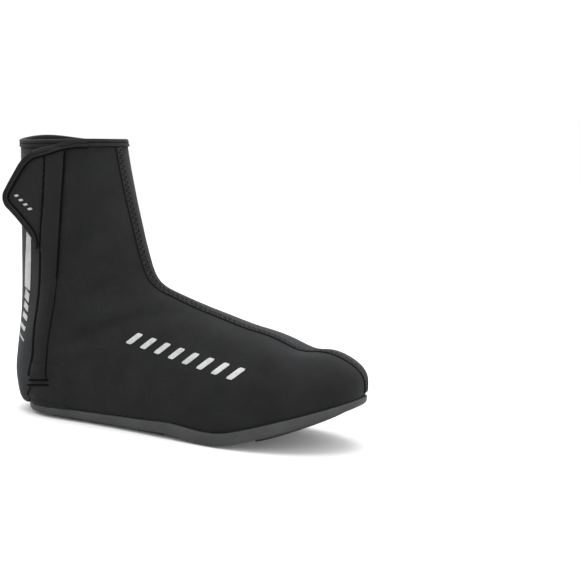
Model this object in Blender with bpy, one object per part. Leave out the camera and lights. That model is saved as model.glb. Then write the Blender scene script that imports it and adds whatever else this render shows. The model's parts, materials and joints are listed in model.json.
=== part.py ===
# Winter cycling overshoe for the right foot: a hollow neoprene upper with a closure flap at the back,
# on a cupped rubber sole with two knurled tread pads. +X is the toe, +Y the inner side of the foot, +Z up.
import functools
import math

import bmesh
import bpy
import numpy as np
from mathutils import Vector

# Driving sizes, in metres
SOLE_LENGTH = 0.290
BALL_WIDTH = 0.1062
WAIST_WIDTH = 0.0722
HEEL_WIDTH = 0.0695
TOE_SPRING = 0.0368
ARCH_RISE = 0.0030
INSTEP_HEIGHT = 0.116
COLLAR_HEIGHT = 0.2265
COLLAR_WIDTH = 0.074
REST_FROM_HEEL = 0.060

# Walls, edges and clearances
WALL = 0.0025
GAP = 0.0003
SOLE_PLATE = 0.0032
SOLE_EDGE = 0.0105
RIM_WALL = 0.0032
BOTTOM_ROUND = 0.0022
RIM_ROUND = 0.0007
TREAD_HEIGHT = 0.0017
HEEL_TREAD_INSET = 0.0085
HEEL_TREAD_REAR = 0.0145
HEEL_TREAD_LENGTH = 0.1205
HEEL_TREAD_SLANT = 0.0014
HEM_HEIGHT = 0.0070
HEM_WALL = 0.0009
FLAP_WALL = 0.0020
FLAP_GAP = 0.0007
FLAP_THIN_EDGE = 0.0007
FLAP_TAPER = 0.004
FLAP_FOOT = 0.030
TAB_LOW = 0.134
TAB_REACH = 0.0373
TAB_BEND_RADIUS = 0.220
TAPE_WIDTH = 0.0042
TAPE_WALL = 0.0007
SEAM_WIDTH = 0.0072
SEAM_WALL = 0.0007

# How finely the curved surfaces are cut
STEPS_PER_SECTION = 2
STEPS_PER_QUARTER = 8
SOLE_STEPS = 34
TREAD_STEPS = 16
CRESCENT_STEPS = 30
FLAP_ROWS = 18
TAB_ROWS = 22
FLAP_COLUMNS = 8
HEEL_TREAD_COLUMNS = 4
CRESCENT_COLUMNS = 3
LINE_POINTS = 20
LINE_STEPS = 56
SEARCH_STEPS = 40
NORMAL_STEP = 0.004
HEM_STEP = 0.5
MERGE_DISTANCE = 1e-6
SHARP_ANGLE = 40

# Places round a section, as t: the widest point of the outer side and the ridge, and how far the front seam's
# band of faces reaches from the ridge before it is cut to its width
WIDEST = 0.25
COLLAR_OVER_TAB = 0.15
RIDGE = 0.5
SEAM_REACH = 0.19

# Where the flat spot under the ball begins and ends, and how sharply the toe then rises
BALL_FLAT = (0.595, 0.645)
ARCH_AT = 0.500
ARCH_START = 0.400
SPRING_POWER = 1.24

# Half breadths of the sole before its ends are rounded: place along the length, the size each row
# follows, and the shares of it on the outer and the inner side
BREADTH = (
    # at, follows, outer, inner
    (0.00, HEEL_WIDTH, 0.487, 0.500),
    (0.12, HEEL_WIDTH, 0.490, 0.501),
    (0.19, HEEL_WIDTH, 0.509, 0.495),
    (0.26, HEEL_WIDTH, 0.532, 0.480),
    (0.33, WAIST_WIDTH, 0.545, 0.455),
    (0.41, WAIST_WIDTH, 0.602, 0.480),
    (0.49, BALL_WIDTH, 0.448, 0.375),
    (0.58, BALL_WIDTH, 0.492, 0.448),
    (0.66, BALL_WIDTH, 0.514, 0.484),
    (0.72, BALL_WIDTH, 0.515, 0.486),
    (1.00, BALL_WIDTH, 0.515, 0.486),
)

# The rounded ends: share of the length that each takes, and how full the curve is
HEEL_ROUND = {"outer": (0.124, 2.1), "inner": (0.124, 2.6)}
TOE_ROUND = {"outer": (0.340, 2.05), "inner": (0.310, 1.80)}

# Height of the sole's side band along its length, as shares of SOLE_EDGE
EDGE_BAND = (
    # at, share
    (0.00, 0.64),
    (0.20, 0.68),
    (0.40, 0.84),
    (0.60, 0.98),
    (0.76, 1.00),
    (0.90, 0.82),
    (1.00, 0.58),
)

# Sections of the upper, from the toe, over the instep, to the collar. Each spans from a base point, on the
# sole's edge or on the back of the heel, to a point on the front ridge. Places are shares of SOLE_LENGTH.
# Rises are shares of INSTEP_HEIGHT up to 1, and from 1 to 2 of the shaft above it. The half width is foot
# times the sole's half breadth plus shaft times half of COLLAR_WIDTH. Widest is where it lies on the span.
SECTION_COLUMNS = (
    "ridge_at", "ridge_rise", "base_at", "base_rise", "foot", "shaft", "widest", "ridge_full", "base_full",
)
SECTIONS = {
    "toe_tip": (0.9885, 0.185, 1.000, 0.000, 1.000, 0.00, 0.42, 2.2, 2.0),
    "toe_front": (0.9790, 0.243, 0.985, 0.000, 1.000, 0.00, 0.40, 2.2, 2.0),
    "toe_cap": (0.9520, 0.326, 0.955, 0.000, 1.000, 0.00, 0.36, 2.2, 2.0),
    "toe_box": (0.8960, 0.437, 0.905, 0.000, 1.000, 0.00, 0.32, 2.25, 2.0),
    "toe_joint": (0.8150, 0.538, 0.835, 0.000, 1.000, 0.00, 0.29, 2.25, 2.0),
    "ball": (0.7120, 0.697, 0.745, 0.000, 1.005, 0.00, 0.27, 2.15, 2.0),
    "behind_ball": (0.6150, 0.792, 0.650, 0.000, 1.010, 0.00, 0.26, 2.05, 2.0),
    "low_instep": (0.5250, 0.858, 0.550, 0.000, 1.020, 0.00, 0.26, 1.95, 2.0),
    "instep": (0.4500, 0.921, 0.440, 0.000, 1.060, 0.00, 0.27, 1.90, 2.0),
    "high_instep": (0.4030, 0.964, 0.330, 0.000, 1.110, 0.00, 0.28, 1.90, 2.0),
    "ankle_bend": (0.3800, 1.004, 0.220, 0.000, 1.130, 0.00, 0.30, 1.90, 2.0),
    "over_bend": (0.3680, 1.044, 0.130, 0.000, 1.105, 0.02, 0.32, 1.92, 2.0),
    "heel_side": (0.3605, 1.084, 0.060, 0.000, 1.075, 0.06, 0.34, 1.95, 2.0),
    "heel_seat": (0.3550, 1.118, 0.000, 0.000, 1.030, 0.10, 0.36, 1.97, 2.35),
    "heel_turn": (0.3500, 1.154, -0.028, 0.014, 0.970, 0.15, 0.38, 2.0, 2.5),
    "heel_low": (0.3435, 1.200, -0.048, 0.092, 0.905, 0.20, 0.40, 2.0, 2.45),
    "heel_back": (0.3340, 1.273, -0.057, 0.208, 0.790, 0.29, 0.42, 2.0, 2.35),
    "heel_high": (0.3225, 1.373, -0.056, 0.360, 0.640, 0.42, 0.44, 2.0, 2.15),
    "tendon": (0.3110, 1.475, -0.051, 0.532, 0.450, 0.56, 0.46, 2.0, 2.1),
    "ankle": (0.2980, 1.580, -0.049, 0.730, 0.280, 0.71, 0.48, 2.05, 2.1),
    "shaft_low": (0.2840, 1.702, -0.051, 0.985, 0.120, 0.87, 0.49, 2.1, 2.1),
    "shaft": (0.2710, 1.830, -0.055, 1.325, 0.030, 0.96, 0.49, 2.1, 2.1),
    "shaft_high": (0.2615, 1.935, -0.059, 1.640, 0.000, 0.99, 0.49, 2.1, 2.1),
    "collar": (0.2555, 2.000, -0.062, 1.875, 0.000, 1.00, 0.49, 2.1, 2.1),
}
NAMES = list(SECTIONS)
HEEL_SEAT = NAMES.index("heel_seat")
COLLAR = len(NAMES) - 1
SECTIONS_UNDER_FLAP = 1.5
FLAP_FROM = HEEL_SEAT - SECTIONS_UNDER_FLAP

# The flap's front seam and its back edge on the outer side: height as a share of COLLAR_HEIGHT, and
# place as a share of SOLE_LENGTH
FLAP_FRONT = (
    # height, at
    (0.10, 0.098),
    (0.27, 0.107),
    (0.44, 0.126),
    (0.62, 0.136),
    (0.80, 0.142),
    (1.00, 0.148),
)
FLAP_BACK = (
    # height, at
    (0.10, 0.038),
    (0.20, 0.052),
    (0.31, 0.059),
    (0.50, 0.065),
    (0.70, 0.069),
    (1.00, 0.073),
)

# How far the tab reaches past the flap's back edge: share of the tab's height, and share of TAB_REACH
TAB_EDGE = (
    # height, reach
    (-1.00, 0.00),
    (0.00, 0.00),
    (0.09, 0.00),
    (0.15, 0.10),
    (0.25, 0.34),
    (0.35, 0.62),
    (0.44, 0.91),
    (0.48, 0.98),
    (0.52, 1.00),
    (0.57, 0.97),
    (0.64, 0.87),
    (0.79, 0.63),
    (0.89, 0.47),
    (1.00, 0.20),
)

# The crescent tread under the toes: angle about its centre, then inner and outer radius as shares of
# BALL_WIDTH. The inner side of the foot is at positive angles.
CRESCENT_AT = 0.755
CRESCENT = (
    # angle, inner, outer
    (109, 0.245, 0.375),
    (104, 0.185, 0.402),
    (96, 0.172, 0.400),
    (76, 0.174, 0.382),
    (44, 0.192, 0.424),
    (20, 0.238, 0.500),
    (0, 0.266, 0.503),
    (-25, 0.280, 0.466),
    (-50, 0.276, 0.414),
    (-80, 0.256, 0.405),
    (-89, 0.275, 0.402),
    (-95, 0.315, 0.380),
)

# Where the front seam lies: place along the length, and how far aside of the ridge as a share of BALL_WIDTH.
# The outer side of the foot is negative.
SEAM_LINE = (
    # at, aside
    (0.25, -0.075),
    (0.38, -0.058),
    (0.50, -0.075),
    (0.67, -0.092),
    (0.80, -0.113),
    (0.88, -0.104),
    (0.95, -0.056),
    (1.00, -0.014),
)

# Colour, roughness and metallic value of each finish
FINISHES = {
    "neoprene": ((0.016, 0.017, 0.019), 0.85, 0.0),
    "flap_cloth": ((0.020, 0.021, 0.023), 0.80, 0.0),
    "tape": ((0.010, 0.010, 0.011), 0.75, 0.0),
    "sole_rubber": ((0.120, 0.125, 0.130), 0.55, 0.0),
    "tread_rubber": ((0.060, 0.062, 0.065), 0.60, 0.0),
}


def smooth_curve(rows, column, place):
    """Value of one column at a place in the table's first column, on a curve that never overshoots a row."""
    xs = np.array([row[0] for row in rows], float)
    ys = np.array([row[column] for row in rows], float)
    return hermite(xs, ys, place)


def hermite(xs, ys, place):
    place = min(max(place, xs[0]), xs[-1])
    widths = np.diff(xs)
    slopes = np.diff(ys) / widths
    tangents = np.zeros(len(xs))
    for i in range(1, len(xs) - 1):
        before, after = slopes[i - 1], slopes[i]
        if before * after > 0:
            heavy = 2 * widths[i] + widths[i - 1]
            light = widths[i] + 2 * widths[i - 1]
            tangents[i] = (heavy + light) / (heavy / before + light / after)
    tangents[0], tangents[-1] = slopes[0], slopes[-1]
    i = min(int(np.searchsorted(xs, place, side="right")) - 1, len(widths) - 1)
    u = (place - xs[i]) / widths[i]
    return float(
        ys[i] * (1 + 2 * u) * (1 - u) ** 2
        + tangents[i] * widths[i] * u * (1 - u) ** 2
        + ys[i + 1] * u * u * (3 - 2 * u)
        + tangents[i + 1] * widths[i] * u * u * (u - 1)
    )


def ease(u):
    u = min(max(u, 0.0), 1.0)
    return u * u * (3 - 2 * u)


def toe_lift(x):
    """How far the toe spring lifts the sole at x, measured from the sole's back end."""
    start = BALL_FLAT[1] * SOLE_LENGTH
    share = min(max((x - start) / (SOLE_LENGTH - start), 0.0), 1.0)
    return TOE_SPRING * share**SPRING_POWER


def sole_bottom(x):
    """Underside of the sole's body: a heel raised by the tread pad, an arch, a flat ball and the toe spring."""
    at = x / SOLE_LENGTH
    heel = TREAD_HEIGHT + GAP
    if at <= ARCH_AT:
        return heel + (ARCH_RISE - heel) * ease((at - ARCH_START) / (ARCH_AT - ARCH_START))
    if at <= BALL_FLAT[0]:
        return ARCH_RISE * (1 - ease((at - ARCH_AT) / (BALL_FLAT[0] - ARCH_AT)))
    return toe_lift(x)


def edge_top(x):
    return sole_bottom(x) + SOLE_EDGE * smooth_curve(EDGE_BAND, 1, x / SOLE_LENGTH)


def cup_floor(x):
    return sole_bottom(x) + SOLE_PLATE


def end_round(distance, radius, full):
    if distance >= radius:
        return 1.0
    return (1 - (1 - max(distance, 0.0) / radius) ** full) ** (1 / full)


def half_breadth(x, side, inset=0.0, end_inset=None, heel_rounded=True):
    """Distance from the centre line to the sole's outline, drawn in by inset at the sides and at the ends."""
    ends = inset if end_inset is None else end_inset
    column = 2 if side == "outer" else 3
    rows = [(row[0], row[1] * row[column]) for row in BREADTH]
    straight = smooth_curve(rows, 1, x / SOLE_LENGTH) - inset
    toe_share, toe_full = TOE_ROUND[side]
    rounding = end_round(SOLE_LENGTH - ends - x, toe_share * SOLE_LENGTH - ends, toe_full)
    if heel_rounded:
        heel_share, heel_full = HEEL_ROUND[side]
        rounding *= end_round(x - ends, heel_share * SOLE_LENGTH - ends, heel_full)
    return straight * rounding


def height_of(rise):
    return INSTEP_HEIGHT * min(rise, 1.0) + (COLLAR_HEIGHT - INSTEP_HEIGHT) * max(rise - 1.0, 0.0)


def section_value(name, s):
    column = SECTION_COLUMNS.index(name)
    ys = np.array([row[column] for row in SECTIONS.values()], float)
    return hermite(np.arange(len(ys), dtype=float), ys, s)


@functools.cache
def section_at(s):
    """Corner points of the section at s: both base points, the ridge, the middle and the half width."""
    inset = RIM_WALL + GAP
    base_share = section_value("base_at", s)
    base_x = inset + base_share * (SOLE_LENGTH - 2 * inset)
    base_z = edge_top(base_x) + GAP + height_of(section_value("base_rise", s))
    base_outer = Vector((base_x, -half_breadth(base_x, "outer", inset), base_z))
    base_inner = Vector((base_x, half_breadth(base_x, "inner", inset), base_z))
    ridge_x = section_value("ridge_at", s) * SOLE_LENGTH
    ridge = Vector((ridge_x, 0, toe_lift(ridge_x) + height_of(section_value("ridge_rise", s))))
    outline_x = base_share * SOLE_LENGTH
    breadth = sum(half_breadth(outline_x, side, heel_rounded=False) for side in ("outer", "inner"))
    width = section_value("foot", s) * breadth / 2 + section_value("shaft", s) * COLLAR_WIDTH / 2
    middle = (base_outer + base_inner) / 2
    centre = middle + (ridge - middle) * section_value("widest", s)
    forward = inset * max(0.0, 2 * base_share - 1)
    return {
        "outer": base_outer,
        "inner": base_inner,
        "ridge": ridge,
        "middle": middle,
        "centre": centre,
        "width": width,
        "forward": forward,
        "ridge_full": section_value("ridge_full", s),
        "base_full": section_value("base_full", s),
    }


def quarter(angle, full):
    """A point on a quarter of a superellipse, by its direction, so that no stretch of it is crowded."""
    c, s = math.cos(angle), math.sin(angle)
    radius = (abs(c) ** full + abs(s) ** full) ** (-1 / full)
    return radius * c, radius * s


def point_in_section(section, t):
    """t runs from 0 at the outer base, over the ridge, to 1 at the inner base."""
    side, sign = ("outer", -1) if t <= RIDGE else ("inner", 1)
    t = min(t, 1 - t)
    base = section[side]
    widest = section["centre"] + Vector((section["forward"], sign * section["width"], 0))
    if t >= WIDEST:
        c, s = quarter((t - WIDEST) * 2 * math.pi, section["ridge_full"])
        return section["centre"] + c * (widest - section["centre"]) + s * (section["ridge"] - section["centre"])
    corner = base + section["centre"] - section["middle"]
    c, s = quarter((WIDEST - t) * 2 * math.pi, section["base_full"])
    return corner + c * (widest - corner) + s * (base - corner)


def surface(s, t, depth=0.0):
    """The upper's outer surface, moved out along its own normal by depth."""
    point = point_in_section(section_at(s), t)
    if depth == 0.0:
        return point
    return point + depth * surface_normal(s, t)


def surface_normal(s, t):
    low, high = max(s - NORMAL_STEP, 0.0), min(s + NORMAL_STEP, COLLAR)
    along = surface(high, t) - surface(low, t)
    around = surface(s, (t + NORMAL_STEP) % 1.0) - surface(s, (t - NORMAL_STEP) % 1.0)
    return around.cross(along).normalized()


def material_of(name):
    found = bpy.data.materials.get(name)
    if found:
        return found
    colour, roughness, metallic = FINISHES[name]
    made = bpy.data.materials.new(name)
    made.use_nodes = True
    shader = made.node_tree.nodes["Principled BSDF"]
    shader.inputs["Base Color"].default_value = (*colour, 1)
    shader.inputs["Roughness"].default_value = roughness
    shader.inputs["Metallic"].default_value = metallic
    return made


def object_of(name, points, faces, finish, parent):
    """One object from points and faces, with doubled points merged and its faces shaded smooth."""
    mesh = bpy.data.meshes.new(name)
    mesh.from_pydata([tuple(point) for point in points], [], faces)
    work = bmesh.new()
    work.from_mesh(mesh)
    bmesh.ops.remove_doubles(work, verts=work.verts, dist=MERGE_DISTANCE)
    bmesh.ops.dissolve_degenerate(work, edges=work.edges, dist=MERGE_DISTANCE / 10)
    work.to_mesh(mesh)
    work.free()
    mesh.shade_smooth()
    mesh.set_sharp_from_angle(angle=math.radians(SHARP_ANGLE))
    mesh.materials.append(material_of(finish))
    made = bpy.data.objects.new(name, mesh)
    made.parent = parent
    bpy.context.scene.collection.objects.link(made)
    return made


def face_outwards(made):
    work = bmesh.new()
    work.from_mesh(made.data)
    bmesh.ops.recalc_face_normals(work, faces=work.faces)
    if work.calc_volume(signed=True) < 0:
        bmesh.ops.reverse_faces(work, faces=work.faces)
    work.to_mesh(made.data)
    work.free()


def stations():
    return [i / STEPS_PER_SECTION for i in range(COLLAR * STEPS_PER_SECTION + 1)]


def columns():
    count = 4 * STEPS_PER_QUARTER
    return [j / count for j in range(count + 1)]


def add_solidify(made, thickness, offset):
    wall = made.modifiers.new("wall", "SOLIDIFY")
    wall.thickness = thickness
    wall.offset = offset
    wall.use_even_offset = True
    wall.use_rim = True


def make_upper(parent):
    """The upper as one skin from the cup of the sole to the collar, which then gets its wall inwards."""
    points, faces = [], []
    rows = []
    for s in stations():
        section = section_at(s)
        row = []
        for t in columns():
            row.append(len(points))
            points.append(point_in_section(section, t))
        rows.append(row)
    for lower, upper in zip(rows, rows[1:]):
        for j in range(len(lower) - 1):
            faces.append((lower[j], lower[j + 1], upper[j + 1], upper[j]))
    skirt = []
    for s, row in zip(stations(), rows):
        if s > HEEL_SEAT:
            break
        ends = []
        for index in (row[0], row[-1]):
            edge = points[index]
            ends.append(len(points))
            points.append(Vector((edge.x, edge.y, cup_floor(edge.x) + GAP)))
        skirt.append((row[0], row[-1], *ends))
    for here, after in zip(skirt, skirt[1:]):
        faces.append((here[0], after[0], after[2], here[2]))
        faces.append((after[1], here[1], here[3], after[3]))
    made = object_of("upper", points, faces, "neoprene", parent)
    add_solidify(made, WALL, -1)
    return made


def seam_aside(x):
    return BALL_WIDTH * smooth_curve(SEAM_LINE, 1, x / SOLE_LENGTH)


def make_front_seam(parent):
    """The flatlock seam down the front of the shaft, over the instep and toe, and down the toe's front. The skin
    is slid sideways until the seam's line is straight, cut to the seam's width, and slid back."""
    points, faces = [], []
    rows = []
    top = COLLAR - hem_share()
    for s in [s for s in stations() if s < top] + [top]:
        section = section_at(s)
        row = []
        for t in columns():
            row.append(len(points))
            points.append(point_in_section(section, t))
        rows.append((s, row))
    for (s, lower), (_, upper) in zip(rows, rows[1:]):
        for j, (t, after) in enumerate(zip(columns(), columns()[1:])):
            if s < 1 or abs((t + after) / 2 - RIDGE) < SEAM_REACH:
                faces.append((lower[j], lower[j + 1], upper[j + 1], upper[j]))
    made = object_of("front_seam", points, faces, "tape", parent)
    work = bmesh.new()
    work.from_mesh(made.data)
    for vert in work.verts:
        vert.co.y -= seam_aside(vert.co.x)
    foot = edge_top(SOLE_LENGTH) + SEAM_WALL + 3 * GAP
    cuts = (
        (Vector((0, SEAM_WIDTH / 2, 0)), Vector((0, 1, 0))),
        (Vector((0, -SEAM_WIDTH / 2, 0)), Vector((0, -1, 0))),
        (Vector((0, 0, foot)), Vector((0, 0, -1))),
    )
    for place, direction in cuts:
        bmesh.ops.bisect_plane(
            work,
            geom=work.verts[:] + work.edges[:] + work.faces[:],
            dist=MERGE_DISTANCE,
            plane_co=place,
            plane_no=direction,
            clear_outer=True,
        )
    loose = [vert for vert in work.verts if not vert.link_faces]
    bmesh.ops.delete(work, geom=loose, context="VERTS")
    for vert in work.verts:
        vert.co.y += seam_aside(vert.co.x)
    work.normal_update()
    moved = [(vert, vert.co + GAP * vert.normal) for vert in work.verts]
    for vert, place in moved:
        vert.co = place
    work.to_mesh(made.data)
    work.free()
    add_solidify(made, SEAM_WALL, 1)
    return made


def hem_share():
    """The hem's height as a part of the section steps under the collar."""
    drop = (surface(COLLAR, RIDGE) - surface(COLLAR - HEM_STEP, RIDGE)).length
    return HEM_STEP * (HEM_HEIGHT + GAP) / drop


def make_hem(parent):
    """A tape folded over the collar's edge, down its outer and its inner face."""
    profile = (
        (-HEM_HEIGHT, GAP),
        (-HEM_HEIGHT, GAP + HEM_WALL),
        (GAP + HEM_WALL, GAP + HEM_WALL),
        (GAP + HEM_WALL, -WALL - GAP - HEM_WALL),
        (-HEM_HEIGHT, -WALL - GAP - HEM_WALL),
        (-HEM_HEIGHT, -WALL - GAP),
        (GAP, -WALL - GAP),
        (GAP, GAP),
    )
    points, faces = [], []
    around = columns()[:-1]
    for t in around:
        edge = surface(COLLAR, t)
        out = surface_normal(COLLAR, t)
        low = surface(COLLAR - hem_share(), t)
        up = (edge - low).normalized()
        for height, depth in profile:
            start = edge if height > 0 else edge + (low - edge) * min(1.0, -height / (edge - low).length)
            rise = max(height, 0.0)
            points.append(start + up * rise + out * depth)
    count = len(profile)
    for i in range(len(around)):
        for k in range(count):
            after = (i + 1) % len(around)
            step = (k + 1) % count
            faces.append((i * count + k, after * count + k, after * count + step, i * count + step))
    made = object_of("collar_hem", points, faces, "tape", parent)
    face_outwards(made)
    return made


def place_on_line(s, line):
    """The t at which the outer side of section s crosses a line given by height and place."""
    section = section_at(s)
    low, high = 0.0, RIDGE
    for _ in range(SEARCH_STEPS):
        t = (low + high) / 2
        point = point_in_section(section, t)
        if point.x < smooth_curve(line, 1, point.z / COLLAR_HEIGHT) * SOLE_LENGTH:
            low = t
        else:
            high = t
    return (low + high) / 2


def line_on_upper(share):
    """Points and outward directions up the outer side, along the line that lies at this share of the way
    from the flap's front seam to its back edge."""
    line = []
    for height in np.linspace(0, 1, LINE_POINTS + 1).tolist():
        front, back = smooth_curve(FLAP_FRONT, 1, height), smooth_curve(FLAP_BACK, 1, height)
        line.append((height, front + share * (back - front)))
    found = []
    for i in range(LINE_STEPS + 1):
        s = FLAP_FROM + (COLLAR - FLAP_FROM) * i / LINE_STEPS
        t = place_on_line(s, line)
        found.append((surface(s, t), surface_normal(s, t)))
    return found


def at_height(found, height):
    for (here, out), (after, out_after) in zip(found, found[1:]):
        if here.z <= height <= after.z:
            u = (height - here.z) / (after.z - here.z)
            return here.lerp(after, u), out.lerp(out_after, u).normalized()
    return found[-1]


def flap_rows():
    """For each height of the flap: the level path across it, from its front seam to its back edge, as points
    and outward directions, and how far the tab reaches past that."""
    lines = [line_on_upper(j / FLAP_COLUMNS) for j in range(FLAP_COLUMNS + 1)]
    top = surface(COLLAR, COLLAR_OVER_TAB).z - HEM_HEIGHT - 2 * GAP
    heights = [FLAP_FOOT + (TAB_LOW - FLAP_FOOT) * i / FLAP_ROWS for i in range(FLAP_ROWS)]
    heights += [TAB_LOW + (top - TAB_LOW) * i / TAB_ROWS for i in range(TAB_ROWS + 1)]
    rows = []
    for height in heights:
        reach = TAB_REACH * smooth_curve(TAB_EDGE, 1, (height - TAB_LOW) / (top - TAB_LOW))
        rows.append({"path": [at_height(found, height) for found in lines], "reach": reach, "height": height})
    return rows


def across(row, distance, depth):
    """A point of the flap: over the upper as far as the back edge, and past it on the tab, which bends
    towards the shaft only slightly and so stands clear of it."""
    travelled = 0.0
    path = row["path"]
    for (here, out), (after, out_after) in zip(path, path[1:]):
        step = (after - here).length
        if travelled + step >= distance:
            u = (distance - travelled) / step
            normal = out.lerp(out_after, u).normalized()
            return here.lerp(after, u) + depth * normal
        travelled += step
    last, out = path[-1]
    along = (last - path[-2][0]).normalized()
    turn = (distance - travelled) / TAB_BEND_RADIUS
    place = last + along * TAB_BEND_RADIUS * math.sin(turn) - out * TAB_BEND_RADIUS * (1 - math.cos(turn))
    return place + depth * (out * math.cos(turn) + along * math.sin(turn))


def row_length(row):
    path = row["path"]
    on_upper = sum((b[0] - a[0]).length for a, b in zip(path, path[1:]))
    return on_upper + row["reach"]


def sheet_object(name, grid_low, grid_high, finish, parent):
    """A closed sheet between two grids of the same shape."""
    points, faces = [], []
    height, width = len(grid_low), len(grid_low[0])
    for grid in (grid_low, grid_high):
        for row in grid:
            points.extend(row)
    size = height * width

    def at(side, i, j):
        return side * size + i * width + j

    for i in range(height - 1):
        for j in range(width - 1):
            faces.append((at(0, i, j), at(0, i, j + 1), at(0, i + 1, j + 1), at(0, i + 1, j)))
            faces.append((at(1, i, j), at(1, i + 1, j), at(1, i + 1, j + 1), at(1, i, j + 1)))
    for i in range(height - 1):
        for j in (0, width - 1):
            faces.append((at(0, i, j), at(0, i + 1, j), at(1, i + 1, j), at(1, i, j)))
    for j in range(width - 1):
        for i in (0, height - 1):
            faces.append((at(0, i, j), at(1, i, j), at(1, i, j + 1), at(0, i, j + 1)))
    made = object_of(name, points, faces, finish, parent)
    face_outwards(made)
    return made


def make_flap(parent, rows):
    low, high = [], []
    for row in rows:
        length = row_length(row)
        spots = [0.0, FLAP_TAPER] + [
            FLAP_TAPER + (length - FLAP_TAPER) * (j + 1) / FLAP_COLUMNS for j in range(FLAP_COLUMNS)
        ]
        low.append([across(row, spot, FLAP_GAP) for spot in spots])
        tops = [FLAP_THIN_EDGE] + [FLAP_WALL] * (len(spots) - 1)
        high.append([across(row, spot, FLAP_GAP + top) for spot, top in zip(spots, tops)])
    return sheet_object("closure_flap", low, high, "flap_cloth", parent)


def make_tape(parent, rows):
    """The tape sewn on the tab's free edge."""
    low, high = [], []
    for row in rows:
        if row["height"] < TAB_LOW:
            continue
        length = row_length(row)
        base = FLAP_GAP + FLAP_WALL + GAP
        spots = [length - TAPE_WIDTH, length - TAPE_WIDTH / 2, length]
        low.append([across(row, spot, base) for spot in spots])
        high.append([across(row, spot, base + TAPE_WALL) for spot in spots])
    return sheet_object("tab_tape", low, high, "tape", parent)


def sole_chain(inset, height, lift=0.0):
    """A closed chain of points along the sole's outline, drawn in by inset, each at height(x) plus lift."""
    span = SOLE_LENGTH - 2 * inset
    xs = [inset + span * (1 - math.cos(math.pi * k / SOLE_STEPS)) / 2 for k in range(SOLE_STEPS + 1)]
    for share in BALL_FLAT:
        edge = share * SOLE_LENGTH
        nearest = min(range(1, SOLE_STEPS), key=lambda k: abs(xs[k] - edge))
        xs[nearest] = edge
    outer = [Vector((x, -half_breadth(x, "outer", inset), height(x) + lift)) for x in xs]
    inner = [Vector((x, half_breadth(x, "inner", inset), height(x) + lift)) for x in xs]
    return outer, inner


def make_outsole(parent):
    """The rubber cup: a plate with a rounded lower edge and a rim that holds the upper's edge."""
    bevel = BOTTOM_ROUND * (1 - math.cos(math.pi / 4))
    chains = [
        sole_chain(BOTTOM_ROUND, sole_bottom),
        sole_chain(bevel, sole_bottom, bevel),
        sole_chain(0.0, sole_bottom, BOTTOM_ROUND),
        sole_chain(0.0, edge_top, -RIM_ROUND),
        sole_chain(RIM_ROUND, edge_top),
        sole_chain(RIM_WALL, edge_top),
        sole_chain(RIM_WALL, cup_floor),
    ]
    points, faces = [], []
    count = SOLE_STEPS + 1
    for outer, inner in chains:
        points.extend(outer)
        points.extend(inner)

    def at(chain, side, k):
        return chain * 2 * count + side * count + k

    for chain in range(len(chains) - 1):
        for side in (0, 1):
            for k in range(SOLE_STEPS):
                faces.append(
                    (at(chain, side, k), at(chain, side, k + 1), at(chain + 1, side, k + 1), at(chain + 1, side, k))
                )
    for chain in (0, len(chains) - 1):
        for k in range(SOLE_STEPS):
            faces.append((at(chain, 0, k), at(chain, 0, k + 1), at(chain, 1, k + 1), at(chain, 1, k)))
    made = object_of("outsole", points, faces, "sole_rubber", parent)
    face_outwards(made)
    return made


def make_heel_tread(parent):
    """The long knurled pad under the heel and waist, which the shoe stands on."""
    low, high = [], []
    for i in range(TREAD_STEPS + 1):
        share = (1 - math.cos(math.pi * i / TREAD_STEPS)) / 2 if i < TREAD_STEPS / 2 else i / TREAD_STEPS
        x = HEEL_TREAD_REAR + HEEL_TREAD_LENGTH * share
        outer = half_breadth(x, "outer", HEEL_TREAD_INSET, HEEL_TREAD_REAR)
        inner = half_breadth(x, "inner", HEEL_TREAD_INSET, HEEL_TREAD_REAR)
        low_row, high_row = [], []
        for j in range(HEEL_TREAD_COLUMNS + 1):
            y = -outer + (outer + inner) * j / HEEL_TREAD_COLUMNS
            slant = -HEEL_TREAD_SLANT * share * (2 * j / HEEL_TREAD_COLUMNS - 1)
            low_row.append(Vector((x + slant, y, 0)))
            high_row.append(Vector((x + slant, y, sole_bottom(x) - GAP)))
        low.append(low_row)
        high.append(high_row)
    return sheet_object("heel_tread", low, high, "tread_rubber", parent)


def make_toe_tread(parent):
    """The crescent pad under the toes, which follows the toe spring and is flat where it would meet the floor."""
    rows = sorted(CRESCENT)
    low, high = [], []
    for i in range(CRESCENT_STEPS + 1):
        angle = rows[0][0] + (rows[-1][0] - rows[0][0]) * i / CRESCENT_STEPS
        inner, outer = (smooth_curve(rows, column, angle) * BALL_WIDTH for column in (1, 2))
        low_row, high_row = [], []
        for j in range(CRESCENT_COLUMNS + 1):
            radius = inner + (outer - inner) * j / CRESCENT_COLUMNS
            x = CRESCENT_AT * SOLE_LENGTH + radius * math.cos(math.radians(angle))
            y = radius * math.sin(math.radians(angle))
            top = sole_bottom(x) - GAP
            low_row.append(Vector((x, y, max(0.0, top - TREAD_HEIGHT))))
            high_row.append(Vector((x, y, top)))
        low.append(low_row)
        high.append(high_row)
    return sheet_object("toe_tread", low, high, "tread_rubber", parent)


def main():
    for old in list(bpy.data.objects):
        bpy.data.objects.remove(old, do_unlink=True)
    shoe = bpy.data.objects.new("overshoe", None)
    shoe.location = (-REST_FROM_HEEL, 0, 0)
    bpy.context.scene.collection.objects.link(shoe)
    make_outsole(shoe)
    make_heel_tread(shoe)
    make_toe_tread(shoe)
    make_upper(shoe)
    make_hem(shoe)
    make_front_seam(shoe)
    rows = flap_rows()
    make_flap(shoe, rows)
    make_tape(shoe, rows)


main()
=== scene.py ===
import json
import math

import bpy
import numpy as np
from mathutils import Matrix, Vector
from mathutils.bvhtree import BVHTree

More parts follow.
